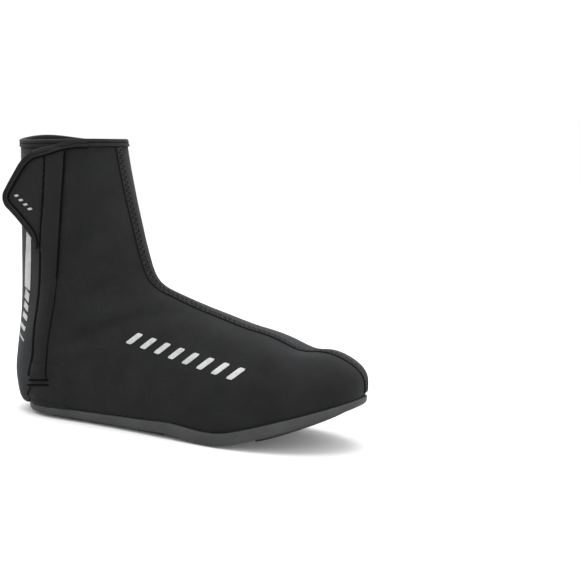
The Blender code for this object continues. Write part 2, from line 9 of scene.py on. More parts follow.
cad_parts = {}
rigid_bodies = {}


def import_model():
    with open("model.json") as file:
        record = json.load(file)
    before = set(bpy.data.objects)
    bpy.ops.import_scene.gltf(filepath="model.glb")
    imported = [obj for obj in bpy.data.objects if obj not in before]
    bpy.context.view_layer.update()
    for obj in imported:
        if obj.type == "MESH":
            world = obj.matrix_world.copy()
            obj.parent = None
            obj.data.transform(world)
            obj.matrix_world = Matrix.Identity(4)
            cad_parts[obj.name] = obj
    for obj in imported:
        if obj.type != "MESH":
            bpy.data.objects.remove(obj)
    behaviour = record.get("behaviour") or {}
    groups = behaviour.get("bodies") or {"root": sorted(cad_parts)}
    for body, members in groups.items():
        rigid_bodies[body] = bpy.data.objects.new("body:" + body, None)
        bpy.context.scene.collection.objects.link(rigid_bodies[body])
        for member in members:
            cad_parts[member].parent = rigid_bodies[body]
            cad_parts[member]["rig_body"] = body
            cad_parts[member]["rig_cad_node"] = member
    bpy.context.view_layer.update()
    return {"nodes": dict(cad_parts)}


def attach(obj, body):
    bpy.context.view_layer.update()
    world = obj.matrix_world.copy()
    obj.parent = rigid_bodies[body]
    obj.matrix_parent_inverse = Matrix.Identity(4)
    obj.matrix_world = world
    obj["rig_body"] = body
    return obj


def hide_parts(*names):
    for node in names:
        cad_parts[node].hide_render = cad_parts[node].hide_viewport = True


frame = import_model()
cadNodes = frame["nodes"]
print("frame loaded with", ", ".join(sorted(cadNodes)))

shaftAxis = Vector((-0.023, 0.0, 0.0))  # the ankle's middle, which level rays round the shaft aim at
clearOfShoe = {"side": 0.15, "round": 0.2, "below": -0.05}  # where rays towards the shoe start
weld = {"distance": 0.00001, "faceAngle": 70, "shapeAngle": 140}  # how a solid's triangles are joined again


# Small helpers

def pickOnly(piece):
    if bpy.context.object and bpy.context.object.mode != "OBJECT":
        bpy.ops.object.mode_set(mode="OBJECT")
    bpy.ops.object.select_all(action="DESELECT")
    piece.hide_viewport = False
    piece.select_set(True)
    bpy.context.view_layer.objects.active = piece


def startEdit(piece, select="SELECT", kind=None):
    # edit mode on one piece, with all or nothing of it selected
    pickOnly(piece)
    bpy.ops.object.mode_set(mode="EDIT")
    if kind:
        bpy.ops.mesh.select_mode(type=kind)
    bpy.ops.mesh.select_all(action=select)


def endEdit():
    bpy.ops.object.mode_set(mode="OBJECT")


def applyModifiers(piece):
    pickOnly(piece)
    for modifier in list(piece.modifiers):
        bpy.ops.object.modifier_apply(modifier=modifier.name)


def copyOfNode(nodeName, pieceName):
    # an own, welded copy of a solid, back in four-sided faces, which then stands for it
    pickOnly(cadNodes[nodeName])
    bpy.ops.object.duplicate()
    piece = bpy.context.object
    piece.name = piece.data.name = pieceName
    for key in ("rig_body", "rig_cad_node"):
        if key in piece:
            del piece[key]
    bpy.ops.object.parent_clear(type="CLEAR_KEEP_TRANSFORM")
    piece.data.materials.clear()
    startEdit(piece)
    bpy.ops.mesh.customdata_custom_splitnormals_clear()
    bpy.ops.mesh.remove_doubles(threshold=weld["distance"])
    faceAngle, shapeAngle = math.radians(weld["faceAngle"]), math.radians(weld["shapeAngle"])
    bpy.ops.mesh.tris_convert_to_quads(face_threshold=faceAngle, shape_threshold=shapeAngle)
    endEdit()
    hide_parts(nodeName)
    return piece


def soften(piece, shape):
    # subdivides the piece, with its sharp edges held by a crease
    startEdit(piece, "DESELECT", "EDGE")
    bpy.ops.mesh.edges_select_sharp(sharpness=math.radians(shape["edgeAngle"]))
    bpy.ops.transform.edge_crease(value=shape["edgeCrease"])
    endEdit()
    smooth = piece.modifiers.new("smooth", "SUBSURF")
    smooth.levels = smooth.render_levels = shape["levels"]
    applyModifiers(piece)


def getPoints(piece):
    points = np.empty(len(piece.data.vertices) * 3)
    piece.data.vertices.foreach_get("co", points)
    return points.reshape(-1, 3)


def setPoints(piece, points):
    piece.data.vertices.foreach_set("co", np.asarray(points, np.float32).ravel())
    piece.data.update()


def getNormals(piece):
    normals = np.empty(len(piece.data.vertices) * 3)
    piece.data.vertex_normals.foreach_get("vector", normals)
    return normals.reshape(-1, 3)


def pieceFrom(name, points, faces):
    mesh = bpy.data.meshes.new(name)
    mesh.from_pydata(points, [], faces)
    mesh.update()
    piece = bpy.data.objects.new(name, mesh)
    bpy.context.scene.collection.objects.link(piece)
    return piece


def finishPiece(piece, material, angle=60):
    if material:
        piece.data.materials.clear()
        piece.data.materials.append(material)
    pickOnly(piece)
    bpy.ops.object.shade_smooth_by_angle(angle=math.radians(angle))
    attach(piece, "root")
    return piece


def treeOf(*pieces):
    points, faces = [], []
    for piece in pieces:
        start = len(points)
        points.extend(vert.co.copy() for vert in piece.data.vertices)
        faces.extend(tuple(start + i for i in face.vertices) for face in piece.data.polygons)
    return BVHTree.FromPolygons(points, faces)


def fromSide(tree, x, z, side=-1):
    # where a level ray across the foot meets the shoe: side -1 is the outer side and 1 the inner
    return tree.ray_cast(Vector((x, clearOfShoe["side"] * side, z)), Vector((0, -side, 0)))[:2]


def fromBelow(tree, x, y):
    return tree.ray_cast(Vector((x, y, clearOfShoe["below"])), Vector((0, 0, 1)))[:2]


def outAt(angle):
    # the level direction out of the shaft: 0 is the front and 90 the inner side
    return Vector((math.cos(math.radians(angle)), math.sin(math.radians(angle)), 0))


def fromRound(tree, angle, z):
    # where a level ray towards the shaft's axis meets it
    out = outAt(angle)
    return tree.ray_cast(shaftAxis + out * clearOfShoe["round"] + Vector((0, 0, z)), -out)[:2]


def ease(u):
    u = np.clip(u, 0.0, 1.0)
    return u * u * (3 - 2 * u)


def bell(x, middle, width):
    return np.exp(-((x - middle) / width) ** 2)


def placeAt(line, heights):
    # how far forward a side-view line, given from its top down, lies at each height
    x, z = np.array(line)[::-1].T
    return np.interp(heights, z, x)


# Lines, strips and stitches laid on the cloth. A path is a list of (place, outward direction)

def spaced(rows, step, count=None):
    # evenly spaced points along a line, each row of which begins with a place
    rows = np.array(rows, float)
    reach = np.r_[0, np.cumsum(np.linalg.norm(np.diff(rows[:, :3], axis=0), axis=1))]
    even = np.linspace(0, reach[-1], count or max(2, round(reach[-1] / step) + 1))
    return np.column_stack([np.interp(even, reach, column) for column in rows.T])


def evenLine(points, step):
    # evenly spaced points along a smooth curve through the given ones
    points = np.array(points, float)
    ends = np.vstack((2 * points[0] - points[1], points, 2 * points[-1] - points[-2]))
    dense = []
    for a, b, c, d in zip(ends, ends[1:], ends[2:], ends[3:]):
        for u in np.linspace(0, 1, 12, endpoint=False):
            dense.append(0.5 * (2 * b + (c - a) * u + (2 * a - 5 * b + 4 * c - d) * u ** 2
                                + (3 * b - 3 * c + d - a) * u ** 3))
    return spaced(dense + [points[-1]], step)


def evenPath(path, step):
    rows = spaced([(*place, *normal) for place, normal in path], step)
    return [(Vector(row[:3]), Vector(row[3:]).normalized()) for row in rows]


def onSide(tree, flatLine, side=-1):
    # the path of a side-view line on the cloth
    found = [fromSide(tree, x, z, side) for x, z in flatLine]
    return [(place, normal) for place, normal in found if place is not None]


def raised(path, height):
    return [(place + normal * height, normal) for place, normal in path]


def acrossPath(path, i):
    # the direction across a path, in the cloth's own plane
    along = path[min(i + 1, len(path) - 1)][0] - path[max(i - 1, 0)][0]
    return path[i][1].cross(along.normalized()).normalized()


def aside(path, offset):
    return [(place + acrossPath(path, i) * offset, normal) for i, (place, normal) in enumerate(path)]


def gridPiece(name, rows, thickness, rise=0.0):
    # a grid pulled onto rows of (place, normal), crowned across its width and given a thickness
    rowCount, columnCount = len(rows), len(rows[0])
    bpy.ops.object.select_all(action="DESELECT")
    bpy.ops.mesh.primitive_grid_add(x_subdivisions=rowCount - 1, y_subdivisions=columnCount - 1, size=1)
    piece = bpy.context.object
    piece.name = piece.data.name = name
    for vert in piece.data.vertices:
        i = round((vert.co.x + 0.5) * (rowCount - 1))
        j = round((vert.co.y + 0.5) * (columnCount - 1))
        place, normal = rows[i][j]
        crown = math.sin(math.pi * j / (columnCount - 1)) if columnCount > 2 else 0.0
        vert.co = place + normal * (rise * crown)
    piece.data.update()
    middle = piece.data.polygons[len(piece.data.polygons) // 2]
    if middle.normal.dot(rows[rowCount // 2][columnCount // 2][1]) < 0:
        startEdit(piece)
        bpy.ops.mesh.flip_normals()
        endEdit()
    wall = piece.modifiers.new("thickness", "SOLIDIFY")
    wall.thickness = thickness
    wall.offset = 1
    applyModifiers(piece)
    return piece


def strip(name, path, width, thickness, material, rise=0.0, columns=2):
    # a tape of even width, centred on a path
    rows = []
    for i, (place, normal) in enumerate(path):
        half = acrossPath(path, i) * (width / 2)
        rows.append([(place + half * (2 * j / columns - 1), normal) for j in range(columns + 1)])
    return finishPiece(gridPiece(name, rows, thickness, rise), material)


def panel(name, tree, sides, step, layer, material, columns=5):
    # a thin patch between two side-view lines, dropped onto the cloth
    longest = max(np.linalg.norm(np.diff(np.array(line), axis=0), axis=1).sum() for line in sides)
    left, right = (spaced(line, step, max(3, round(longest / step))) for line in sides)
    rows = []
    for a, b in zip(left, right):
        row = [fromSide(tree, *(a + (b - a) * j / columns)) for j in range(columns + 1)]
        rows.append(raised(row, layer["lift"]))
    return finishPiece(gridPiece(name, rows, layer["thickness"]), material, angle=40)


def stitchShape():
    # one stitch: a short six-sided bead of thread, modelled once at unit size along X
    bpy.ops.object.select_all(action="DESELECT")
    bpy.ops.mesh.primitive_uv_sphere_add(segments=6, ring_count=4, radius=0.5, rotation=(0, math.pi / 2, 0))
    bead = bpy.context.object
    bpy.ops.object.transform_apply(location=False, rotation=True, scale=False)
    points = getPoints(bead)
    faces = [tuple(face.vertices) for face in bead.data.polygons]
    bpy.data.objects.remove(bead)
    points[:, 0] = np.sign(points[:, 0]) * np.abs(points[:, 0] * 2) ** 0.6 / 2  # blunter ends
    return points, faces


stitchPoints, stitchFaces = stitchShape()


def sew(name, stitches, material):
    # all the stitches of one seam in one mesh: each is (middle, run, normal, length, thread)
    points, faces = [], []
    for middle, run, normal, length, thread in stitches:
        direction = run.normalized()
        across = normal.cross(direction).normalized()
        upward = direction.cross(across)
        turn = np.array((direction[:], across[:], upward[:]))
        start = len(points) * len(stitchPoints)
        points.append((stitchPoints * (length, thread, thread)) @ turn + np.array(middle))
        faces.extend(tuple(start + i for i in face) for face in stitchFaces)
    return finishPiece(pieceFrom(name, np.vstack(points).tolist(), faces), material)


def runStitches(path, length, thread, sink=0.0):
    # straight stitches end to end along a path
    return [((here + after) / 2 - normal * sink, after - here, normal, length, thread)
            for (here, normal), (after, _) in zip(path, path[1:])]


def flatlock(name, path, reach, shape, length):
    # a zigzag that reaches to both sides of a path, and a line of straight stitches along each side
    sides = aside(path, -reach), aside(path, reach)
    stitches = [stitch for side in sides for stitch in runStitches(side, length, shape["thread"])]
    for i in range(len(path) - 1):
        here, after = sides[1 - i % 2][i][0], sides[i % 2][i + 1][0]
        stitches.append(((here + after) / 2, after - here, path[i][1], (after - here).length, shape["thread"]))
    return sew(name, stitches, seamThread)


# Camera at the photograph's angle to the shoe

view = {
    "azimuth": 20.0, "elevation": 8.0, "roll": 2.73, "distance": 1.1, "aim": (0.16317, 0.0, 0.11892), "lens": 87.7,
    "sensor": 36, "clipStart": 0.01,
}


def makeCamera():
    azimuth, elevation, roll = (math.radians(view[key]) for key in ("azimuth", "elevation", "roll"))
    level = math.cos(elevation)
    back = Vector((math.sin(azimuth) * level, -math.cos(azimuth) * level, math.sin(elevation)))
    right = Vector((math.cos(azimuth), math.sin(azimuth), 0))
    up = right.cross(-back)
    turnedRight = right * math.cos(roll) + up * math.sin(roll)
    turnedUp = -right * math.sin(roll) + up * math.cos(roll)
    place = Vector(view["aim"]) + back * view["distance"]
    bpy.ops.object.camera_add()
    camera = bpy.context.object
    camera.name = "view_camera"
    camera.data.lens = view["lens"]
    camera.data.sensor_width = view["sensor"]
    camera.data.clip_start = view["clipStart"]
    rows = zip(turnedRight, turnedUp, back, place)
    camera.matrix_world = Matrix((*rows, (0, 0, 0, 1)))
    bpy.context.scene.camera = camera


makeCamera()
print("camera placed")


# Materials

def newMaterial(name, even):
    # a material, its node tree and its shader, on whose own sockets stands what is even all over
    material = bpy.data.materials.new(name)
    material.use_nodes = True
    shader = material.node_tree.nodes["Principled BSDF"]
    for key, value in even.items():
        shader.inputs[key].default_value = value
    return material, material.node_tree, shader


def node(tree, kind, inputs=None, **settings):
    # the outputs of a new node, whose inputs are each a value or another node's output
    made = tree.nodes.new("ShaderNode" + kind)
    for key, value in settings.items():
        setattr(made, key, value)
    wire(tree, made, inputs or {})
    return made.outputs


def wire(tree, made, inputs):
    for key, value in inputs.items():
        if isinstance(value, bpy.types.NodeSocket):
            tree.links.new(value, made.inputs[key])
        else:
            made.inputs[key].default_value = value


def mapRange(tree, source, toMin=0.0, toMax=1.0, fromMin=0.0, fromMax=1.0, clamp=True):
    return node(tree, "MapRange", {"Value": source, "From Min": fromMin, "From Max": fromMax, "To Min": toMin,
                                   "To Max": toMax}, clamp=clamp)["Result"]


def colourRamp(tree, source, stops):
    # a ramp through (position, colour), with its two ends given first
    made = tree.nodes.new("ShaderNodeValToRGB")
    elements = made.color_ramp.elements
    for count, (position, colour) in enumerate(stops):
        stop = elements[count] if count < 2 else elements.new(position)
        stop.position = position
        stop.color = (*colour, 1)
    tree.links.new(source, made.inputs["Fac"])
    return made.outputs["Color"]


def bump(tree, height, strength, distance, invert=False, **under):
    inputs = {"Height": height, "Strength": strength, "Distance": distance, **under}
    return node(tree, "Bump", inputs, invert=invert)["Normal"]


def noise(tree, place, scale, detail, roughness=0.5):
    inputs = {"Vector": place, "Scale": scale, "Detail": detail, "Roughness": roughness}
    return node(tree, "TexNoise", inputs)["Fac"]


def cells(tree, place, scale, randomness):
    inputs = {"Vector": place, "Scale": scale, "Randomness": randomness}
    return node(tree, "TexVoronoi", inputs, feature="F1")["Distance"]


def panelMask(tree, place, boundary):
    # 1 behind the line that is given as heights and places, and 0 in front of it
    apart = node(tree, "SeparateXYZ", {"Vector": place})
    top, low, span, soft = (boundary[key] for key in ("top", "low", "span", "soft"))
    height = mapRange(tree, apart["Z"], fromMax=top)
    edge = colourRamp(tree, height, [(z / top, [(x - low) / span] * 3) for z, x in boundary["line"]])
    here = mapRange(tree, apart["X"], fromMin=low, fromMax=low + span, clamp=False)
    gap = node(tree, "Math", {0: edge, 1: here}, operation="SUBTRACT")["Value"]
    return mapRange(tree, gap, fromMin=-soft, fromMax=soft)


weave = {
    # loops: how uneven, their tone from middle to edge over which distances, and depth
    "uneven": 0.75, "loopTone": (1.18, 0.72, 0.15, 0.75), "loopDeep": 0.0004,
    "fuzzScale": 0.9, "fuzzDetail": 2.0, "fuzzShare": 0.6, "fuzzDeep": 0.0003,
    "mottle": (4.0, 0.6), "tones": (0.32, 0.72),
}


def cloth(name):
    # jersey-faced cloth: a fine grain of loops, soft mottling, and a nap that lightens at grazing angles
    look = clothLooks[name]
    material, tree, shader = newMaterial(name, {
        "Roughness": look["roughness"], "Specular IOR Level": look["specular"], "Sheen Weight": look["sheen"],
        "Sheen Roughness": look["sheenRoughness"], "Sheen Tint": (*look["sheenTint"], 1)})
    place = node(tree, "TexCoord")["Object"]
    loops = cells(tree, place, look["loopScale"], weave["uneven"])
    fuzz = noise(tree, place, look["loopScale"] * weave["fuzzScale"], weave["fuzzDetail"])
    mottle = noise(tree, place, look["mottleScale"], *weave["mottle"])
    tone = colourRamp(tree, mottle, zip(weave["tones"], (look["dark"], look["light"])))
    strength = mapRange(tree, loops, *weave["loopTone"])
    if "panel" in look:
        paler = mapRange(tree, panelMask(tree, place, look["panel"]), 1.0, look["panel"]["paler"])
        strength = node(tree, "Math", {0: strength, 1: paler}, operation="MULTIPLY")["Value"]
    grain = bump(tree, loops, look["grain"], weave["loopDeep"], True)
    wire(tree, shader, {
        "Base Color": node(tree, "VectorMath", {0: tone, "Scale": strength}, operation="SCALE")["Vector"],
        "Normal": bump(tree, fuzz, look["grain"] * weave["fuzzShare"], weave["fuzzDeep"], Normal=grain)})
    return material


def rubbed(tree, place, look):
    # tone and roughness that drift together in soft clouds
    clouds = noise(tree, place, *look["clouds"])
    return {"Base Color": colourRamp(tree, clouds, zip(look["tones"], (look["dark"], look["light"]))),
            "Roughness": mapRange(tree, clouds, *look["roughness"])}


def film(name, look):
    # reflective film: pale grey glass beads under a thin clear face, a little rubbed
    material, tree, shader = newMaterial(name, {
        "Metallic": look["metallic"], "Coat Weight": look["coat"], "Coat Roughness": look["coatRoughness"]})
    place = node(tree, "TexCoord")["Object"]
    beads = cells(tree, place, look["beadScale"], look["uneven"])
    wire(tree, shader, {
        **rubbed(tree, place, look), "Normal": bump(tree, beads, look["grain"], look["deep"], True)})
    return material


def rubber(name):
    # moulded rubber: fine matt grain and cloudy bloom
    look = rubberLooks[name]
    material, tree, shader = newMaterial(name, {"Specular IOR Level": look["specular"]})
    place = node(tree, "TexCoord")["Object"]
    grit = noise(tree, place, look["gritScale"], look["gritDetail"])
    wire(tree, shader, {**rubbed(tree, place, look), "Normal": bump(tree, grit, look["grain"], look["deep"])})
    return material


clothLooks = {
    "neoprene_face": {
        "dark": (0.0100, 0.0102, 0.0107), "light": (0.0160, 0.0163, 0.0170), "roughness": 0.84, "specular": 0.15,
        "sheen": 0.10, "sheenRoughness": 0.45, "sheenTint": (0.86, 0.88, 0.92),
        "loopScale": 1500.0, "mottleScale": 34.0, "grain": 0.45,
    },
    "fleece_lining": {
        "dark": (0.011, 0.011, 0.012), "light": (0.021, 0.021, 0.022), "roughness": 0.95, "specular": 0.10,
        "sheen": 0.20, "sheenRoughness": 0.6, "sheenTint": (0.8, 0.8, 0.8),
        "loopScale": 900.0, "mottleScale": 90.0, "grain": 0.7,
    },
    "binding_tape": {
        "dark": (0.0100, 0.0102, 0.0107), "light": (0.0150, 0.0153, 0.0160), "roughness": 0.74, "specular": 0.18,
        "sheen": 0.08, "sheenRoughness": 0.35, "sheenTint": (0.85, 0.86, 0.9),
        "loopScale": 1900.0, "mottleScale": 60.0, "grain": 0.5,
    },
    "seam_band": {
        "dark": (0.0055, 0.0056, 0.0060), "light": (0.0095, 0.0097, 0.0102), "roughness": 0.78, "specular": 0.12,
        "sheen": 0.05, "sheenRoughness": 0.35, "sheenTint": (0.85, 0.86, 0.9),
        "loopScale": 1700.0, "mottleScale": 120.0, "grain": 0.6,
    },
    # near-black thread, whose tone also serves the dark strips of painted shade and shadow along the seams and edges
    "black_thread_and_painted_shade": {
        "dark": (0.0016, 0.0016, 0.0018), "light": (0.0032, 0.0032, 0.0035), "roughness": 0.70, "specular": 0.05,
        "sheen": 0.0, "sheenRoughness": 0.30, "sheenTint": (0.9, 0.9, 0.9),
        "loopScale": 3600.0, "mottleScale": 300.0, "grain": 0.5,
    },
    "seam_thread": {
        "dark": (0.013, 0.0133, 0.0140), "light": (0.028, 0.0286, 0.0300), "roughness": 0.64, "specular": 0.22,
        "sheen": 0.10, "sheenRoughness": 0.35, "sheenTint": (0.9, 0.9, 0.92),
        "loopScale": 3600.0, "mottleScale": 300.0, "grain": 0.5,
    },
}
clothLooks["neoprene_shell"] = {
    **clothLooks["neoprene_face"],
    # the rear panel is a paler cloth: heights and places of its edge, hidden under the flap and the inner seam
    "panel": {
        "paler": 2.3, "top": 0.23, "low": -0.07, "span": 0.07, "soft": 0.008,
        "line": ((0.000, -0.0600), (0.230, -0.0310), (0.016, -0.0515), (0.030, -0.0435), (0.048, -0.0385),
                 (0.080, -0.0352), (0.150, -0.0345)),
    },
}
neopreneFace, neopreneShell, fleeceLining, bindingTape, seamBand, blackThreadAndShade, seamThread = (
    cloth(name) for name in ("neoprene_face", "neoprene_shell", "fleece_lining", "binding_tape", "seam_band",
                             "black_thread_and_painted_shade", "seam_thread"))
reflectiveFilm = film("reflective_film", {
    "dark": (0.36, 0.365, 0.37), "light": (0.54, 0.545, 0.55), "tones": (0.30, 0.62), "roughness": (0.37, 0.57),
    "clouds": (160.0, 5.0, 0.7), "metallic": 0.10, "coat": 0.15, "coatRoughness": 0.30,
    "beadScale": 2600.0, "uneven": 0.35, "grain": 0.3, "deep": 0.0001,
})

rubberLooks = {
    "sole_rubber_grey": {
        "dark": (0.034, 0.0345, 0.0355), "light": (0.060, 0.061, 0.063), "tones": (0.30, 0.70),
        "roughness": (0.47, 0.65), "specular": 0.22, "clouds": (26.0, 5.0, 0.65),
        "gritScale": 2600.0, "gritDetail": 3.0, "grain": 0.25, "deep": 0.0003,
    },
    "tread_rubber_dark": {
        "dark": (0.016, 0.0162, 0.0168), "light": (0.032, 0.0325, 0.0335), "tones": (0.30, 0.70),
        "roughness": (0.50, 0.68), "specular": 0.22, "clouds": (40.0, 5.0, 0.65),
        "gritScale": 2200.0, "gritDetail": 3.0, "grain": 0.35, "deep": 0.0003,
    },
}
soleRubber, treadRubber = rubber("sole_rubber_grey"), rubber("tread_rubber_dark")
print("materials mixed")


# Upper: one hollow neoprene shell with soft folds

upperShape = {
    "levels": 2, "edgeAngle": 55, "edgeCrease": 1.0,
    # the outer face is told from the inner by rays between these distances
    "feelFrom": 0.0004, "feelTo": 0.15,
    # folds fade out over this share of their line at each end, and over this width at the shoe's middle
    "foldEnds": 0.07, "sideBlend": 0.012, "troughWidth": 0.75,
    # points in side view, ridge height above the line, trough depth below it, and width
    "outerFolds": (
        {"line": ((-0.026, 0.056), (-0.006, 0.066), (0.012, 0.075), (0.027, 0.082), (0.043, 0.089),
                  (0.060, 0.093), (0.078, 0.094)), "ridge": 0.0010, "trough": 0.0017, "width": 0.0070},
        {"line": ((-0.028, 0.047), (-0.004, 0.050), (0.020, 0.055), (0.044, 0.058)),
         "ridge": 0.0006, "trough": 0.0010, "width": 0.0060},
        {"line": ((0.030, 0.122), (0.012, 0.108), (-0.008, 0.099)),
         "ridge": 0.0007, "trough": 0.0012, "width": 0.0070},
        {"line": ((0.096, 0.079), (0.122, 0.068), (0.150, 0.062), (0.178, 0.060)),
         "ridge": 0.0007, "trough": 0.0009, "width": 0.0085},
        {"line": ((0.162, 0.079), (0.178, 0.070), (0.194, 0.064)),
         "ridge": 0.0009, "trough": 0.0010, "width": 0.0060},
        {"line": ((-0.012, 0.205), (-0.006, 0.165), (-0.004, 0.130)),
         "ridge": 0.0004, "trough": 0.0004, "width": 0.011},
    ),
    "innerFolds": (
        {"line": ((-0.030, 0.060), (-0.004, 0.070), (0.022, 0.082), (0.050, 0.090)),
         "ridge": 0.0007, "trough": 0.0011, "width": 0.0080},
        {"line": ((0.034, 0.124), (0.014, 0.110), (-0.010, 0.101)),
         "ridge": 0.0004, "trough": 0.0008, "width": 0.0075},
        {"line": ((0.070, 0.066), (0.105, 0.060), (0.140, 0.058)),
         "ridge": 0.0004, "trough": 0.0006, "width": 0.0090},
    ),
}
heelRoll = {
    # the heel's lower roll hangs this far over the sole's rim, from behind "front" and below "top"
    "hang": 0.0058, "front": -0.012, "top": 0.030, "fade": 0.018, "ramp": 0.0013,
    # its overhang is felt level with the sole, towards this place and up to this far
    "soleLevel": 0.006, "centre": -0.010, "farthest": 0.03,
}
toeDip = {
    "at": 0.178, "width": 0.013, "deep": 0.0040, "across": 0.026, "from": 0.040, "over": 0.018,
    "capAt": 0.200, "capWidth": 0.010, "cap": 0.0004,
}
collarRise = {
    # round the shaft: angle, spread and height of each swell of the collar's edge
    "swells": ((156.0, 30.0, 0.0033), (80.0, 38.0, -0.0014), (-55.0, 45.0, 0.0008)), "from": 0.188, "to": 0.224,
}


def humpOf(points):
    # the collar's edge isn't level: it stands a little higher at the back of the inner side
    angle = np.degrees(np.arctan2(points[:, 1], points[:, 0] - shaftAxis.x))
    rise = sum(height * bell((angle - middle + 180) % 360 - 180, 0, spread)
               for middle, spread, height in collarRise["swells"])
    return rise * ease((points[:, 2] - collarRise["from"]) / (collarRise["to"] - collarRise["from"]))


def toeDipOf(points):
    # how far each point of the toe box's top sinks: a soft hollow before the cap, which itself stands up a little
    x, y, z = points.T
    sink = toeDip["deep"] * bell(x, toeDip["at"], toeDip["width"])
    sink -= toeDip["cap"] * bell(x, toeDip["capAt"], toeDip["capWidth"])
    return sink * bell(y, 0, toeDip["across"]) * ease((z - toeDip["from"]) / toeDip["over"])


def heelHangOf(points):
    # how far each point of the heel's lower roll sinks, growing with its reach beyond the sole
    sole = treeOf(cadNodes["outsole"])
    sink = np.zeros(len(points))
    for i in np.nonzero((points[:, 2] < heelRoll["top"]) & (points[:, 0] < heelRoll["front"]))[0]:
        x, y, z = points[i]
        inward = Vector((heelRoll["centre"] - x, -y, 0)).normalized()
        hit, _, _, reach = sole.ray_cast(Vector((x, y, heelRoll["soleLevel"])), inward)
        if hit is not None and reach <= heelRoll["farthest"]:
            sink[i] = ease(reach / heelRoll["ramp"]) * ease((heelRoll["top"] - z) / heelRoll["fade"])
    return sink * heelRoll["hang"]


def foldHeight(points, folds, side):
    # how far each point moves out: a soft ridge above the fold's line and a trough under it
    total = np.zeros(len(points))
    flat = points[:, [0, 2]]
    for fold in folds:
        line = np.array(fold["line"])
        best = np.full(len(points), np.inf)
        signed, along = np.zeros(len(points)), np.zeros(len(points))
        for i, start in enumerate(line[:-1]):
            step = line[i + 1] - start
            share = np.clip(((flat - start) @ step) / (step @ step), 0, 1)
            offset = flat - (start + share[:, None] * step)
            distance = np.linalg.norm(offset, axis=1)
            closer = distance < best
            best[closer] = distance[closer]
            upward = np.array((-step[1], step[0])) / np.linalg.norm(step)
            upward *= 1 if upward[1] >= 0 else -1
            signed[closer] = (offset @ upward)[closer]
            along[closer] = ((i + share) / (len(line) - 1))[closer]
        pastEnd = np.maximum(best - np.abs(signed), 0)
        shareIn = np.clip(along * (1 - 2 * upperShape["foldEnds"]) + upperShape["foldEnds"], 0, 1)
        fade = np.sin(np.pi * shareIn) * bell(pastEnd, 0, fold["width"])
        ridge = fold["ridge"] * bell(signed, fold["width"], fold["width"])
        trough = fold["trough"] * bell(signed, 0, upperShape["troughWidth"] * fold["width"])
        total += (ridge - trough) * fade
    return total * ease(points[:, 1] * side / upperShape["sideBlend"])


def makeUpper():
    upper = copyOfNode("upper", "upper_shell")
    soften(upper, upperShape)
    points, normals = getPoints(upper), getNormals(upper)
    tree = treeOf(upper)
    # the outer face is the one whose own normal meets nothing on its way out
    faceOut = np.ones(len(points), bool)
    for i, (point, normal) in enumerate(zip(points, normals)):
        start = Vector(point) + Vector(normal) * upperShape["feelFrom"]
        faceOut[i] = tree.ray_cast(start, Vector(normal), upperShape["feelTo"])[0] is None
    outward = np.where(faceOut[:, None], normals, -normals)
    lift = foldHeight(points, upperShape["outerFolds"], -1) + foldHeight(points, upperShape["innerFolds"], 1)
    shaped = points + outward * lift[:, None]
    shaped[:, 2] += humpOf(points) - heelHangOf(points) - toeDipOf(points)
    setPoints(upper, shaped)
    upper.data.materials.append(neopreneShell)
    upper.data.materials.append(fleeceLining)
    for face in upper.data.polygons:
        inside = sum(not faceOut[i] for i in face.vertices)
        face.material_index = 1 if inside * 2 > len(face.vertices) else 0
    return finishPiece(upper, None, angle=50)


upperShell = makeUpper()
print("upper shaped:", len(upperShell.data.polygons), "faces")


# Sole: the moulded cup, smoothed, with a soft rim

soleShape = {"levels": 2, "edgeAngle": 50, "edgeCrease": 0.55}


def makeSole():
    sole = copyOfNode("outsole", "outsole_cup")
    soften(sole, soleShape)
    return finishPiece(sole, soleRubber, angle=45)


outsoleCup = makeSole()
print("sole smoothed:", len(outsoleCup.data.polygons), "faces")


# Closure flap with its pull tab, its front edge rolled down into the seam

flapShape = {
    "levels": 2, "edgeAngle": 50, "edgeCrease": 0.35,
    # side view: the seam at the flap's front, and the stitch line where the tab begins
    "frontLine": ((-0.0172, 0.2215), (-0.0176, 0.2186), (-0.0184, 0.2005), (-0.0193, 0.1810), (-0.0202, 0.1607),
                  (-0.0212, 0.1402), (-0.0220, 0.1197), (-0.0230, 0.0989), (-0.0254, 0.0805), (-0.0277, 0.0616),
                  (-0.0282, 0.0510), (-0.0291, 0.0409), (-0.0296, 0.0310)),
    "stitchLine": ((-0.0346, 0.2150), (-0.0349, 0.1980), (-0.0355, 0.1800), (-0.0360, 0.1716), (-0.0373, 0.1530),
                   (-0.0378, 0.1380), (-0.0375, 0.1335), (-0.0377, 0.1305)),
    # the back edge below the tab, felt on the solid in level slices
    "backEdge": ((-0.0372, 0.1395), (-0.0366, 0.1325), (-0.0368, 0.1126), (-0.0378, 0.0925), (-0.0397, 0.0713),
                 (-0.0402, 0.0508), (-0.0424, 0.0413), (-0.0450, 0.0325)),
    "slices": 40, "slice": 0.004, "backBlend": 0.005, "tabBlend": 0.006,
    "edgeDrop": 0.0010, "edgeWidth": 0.0045, "groove": 0.0007, "grooveWidth": 0.0011,
    # its top slips up under the binding, over the hem
    "slipFrom": 0.204, "slipOver": 0.010, "slipUp": 0.0040, "slipOut": 0.0007, "slipBack": -0.046,
}


def backOf(points):
    # the back edge of the solid's own flap below the tab, at each point's height
    heights = np.linspace(points[:, 2].min(), flapShape["backEdge"][0][1], flapShape["slices"])
    edge = [points[np.abs(points[:, 2] - height) < flapShape["slice"], 0].min() for height in heights]
    return np.interp(points[:, 2], heights, edge)


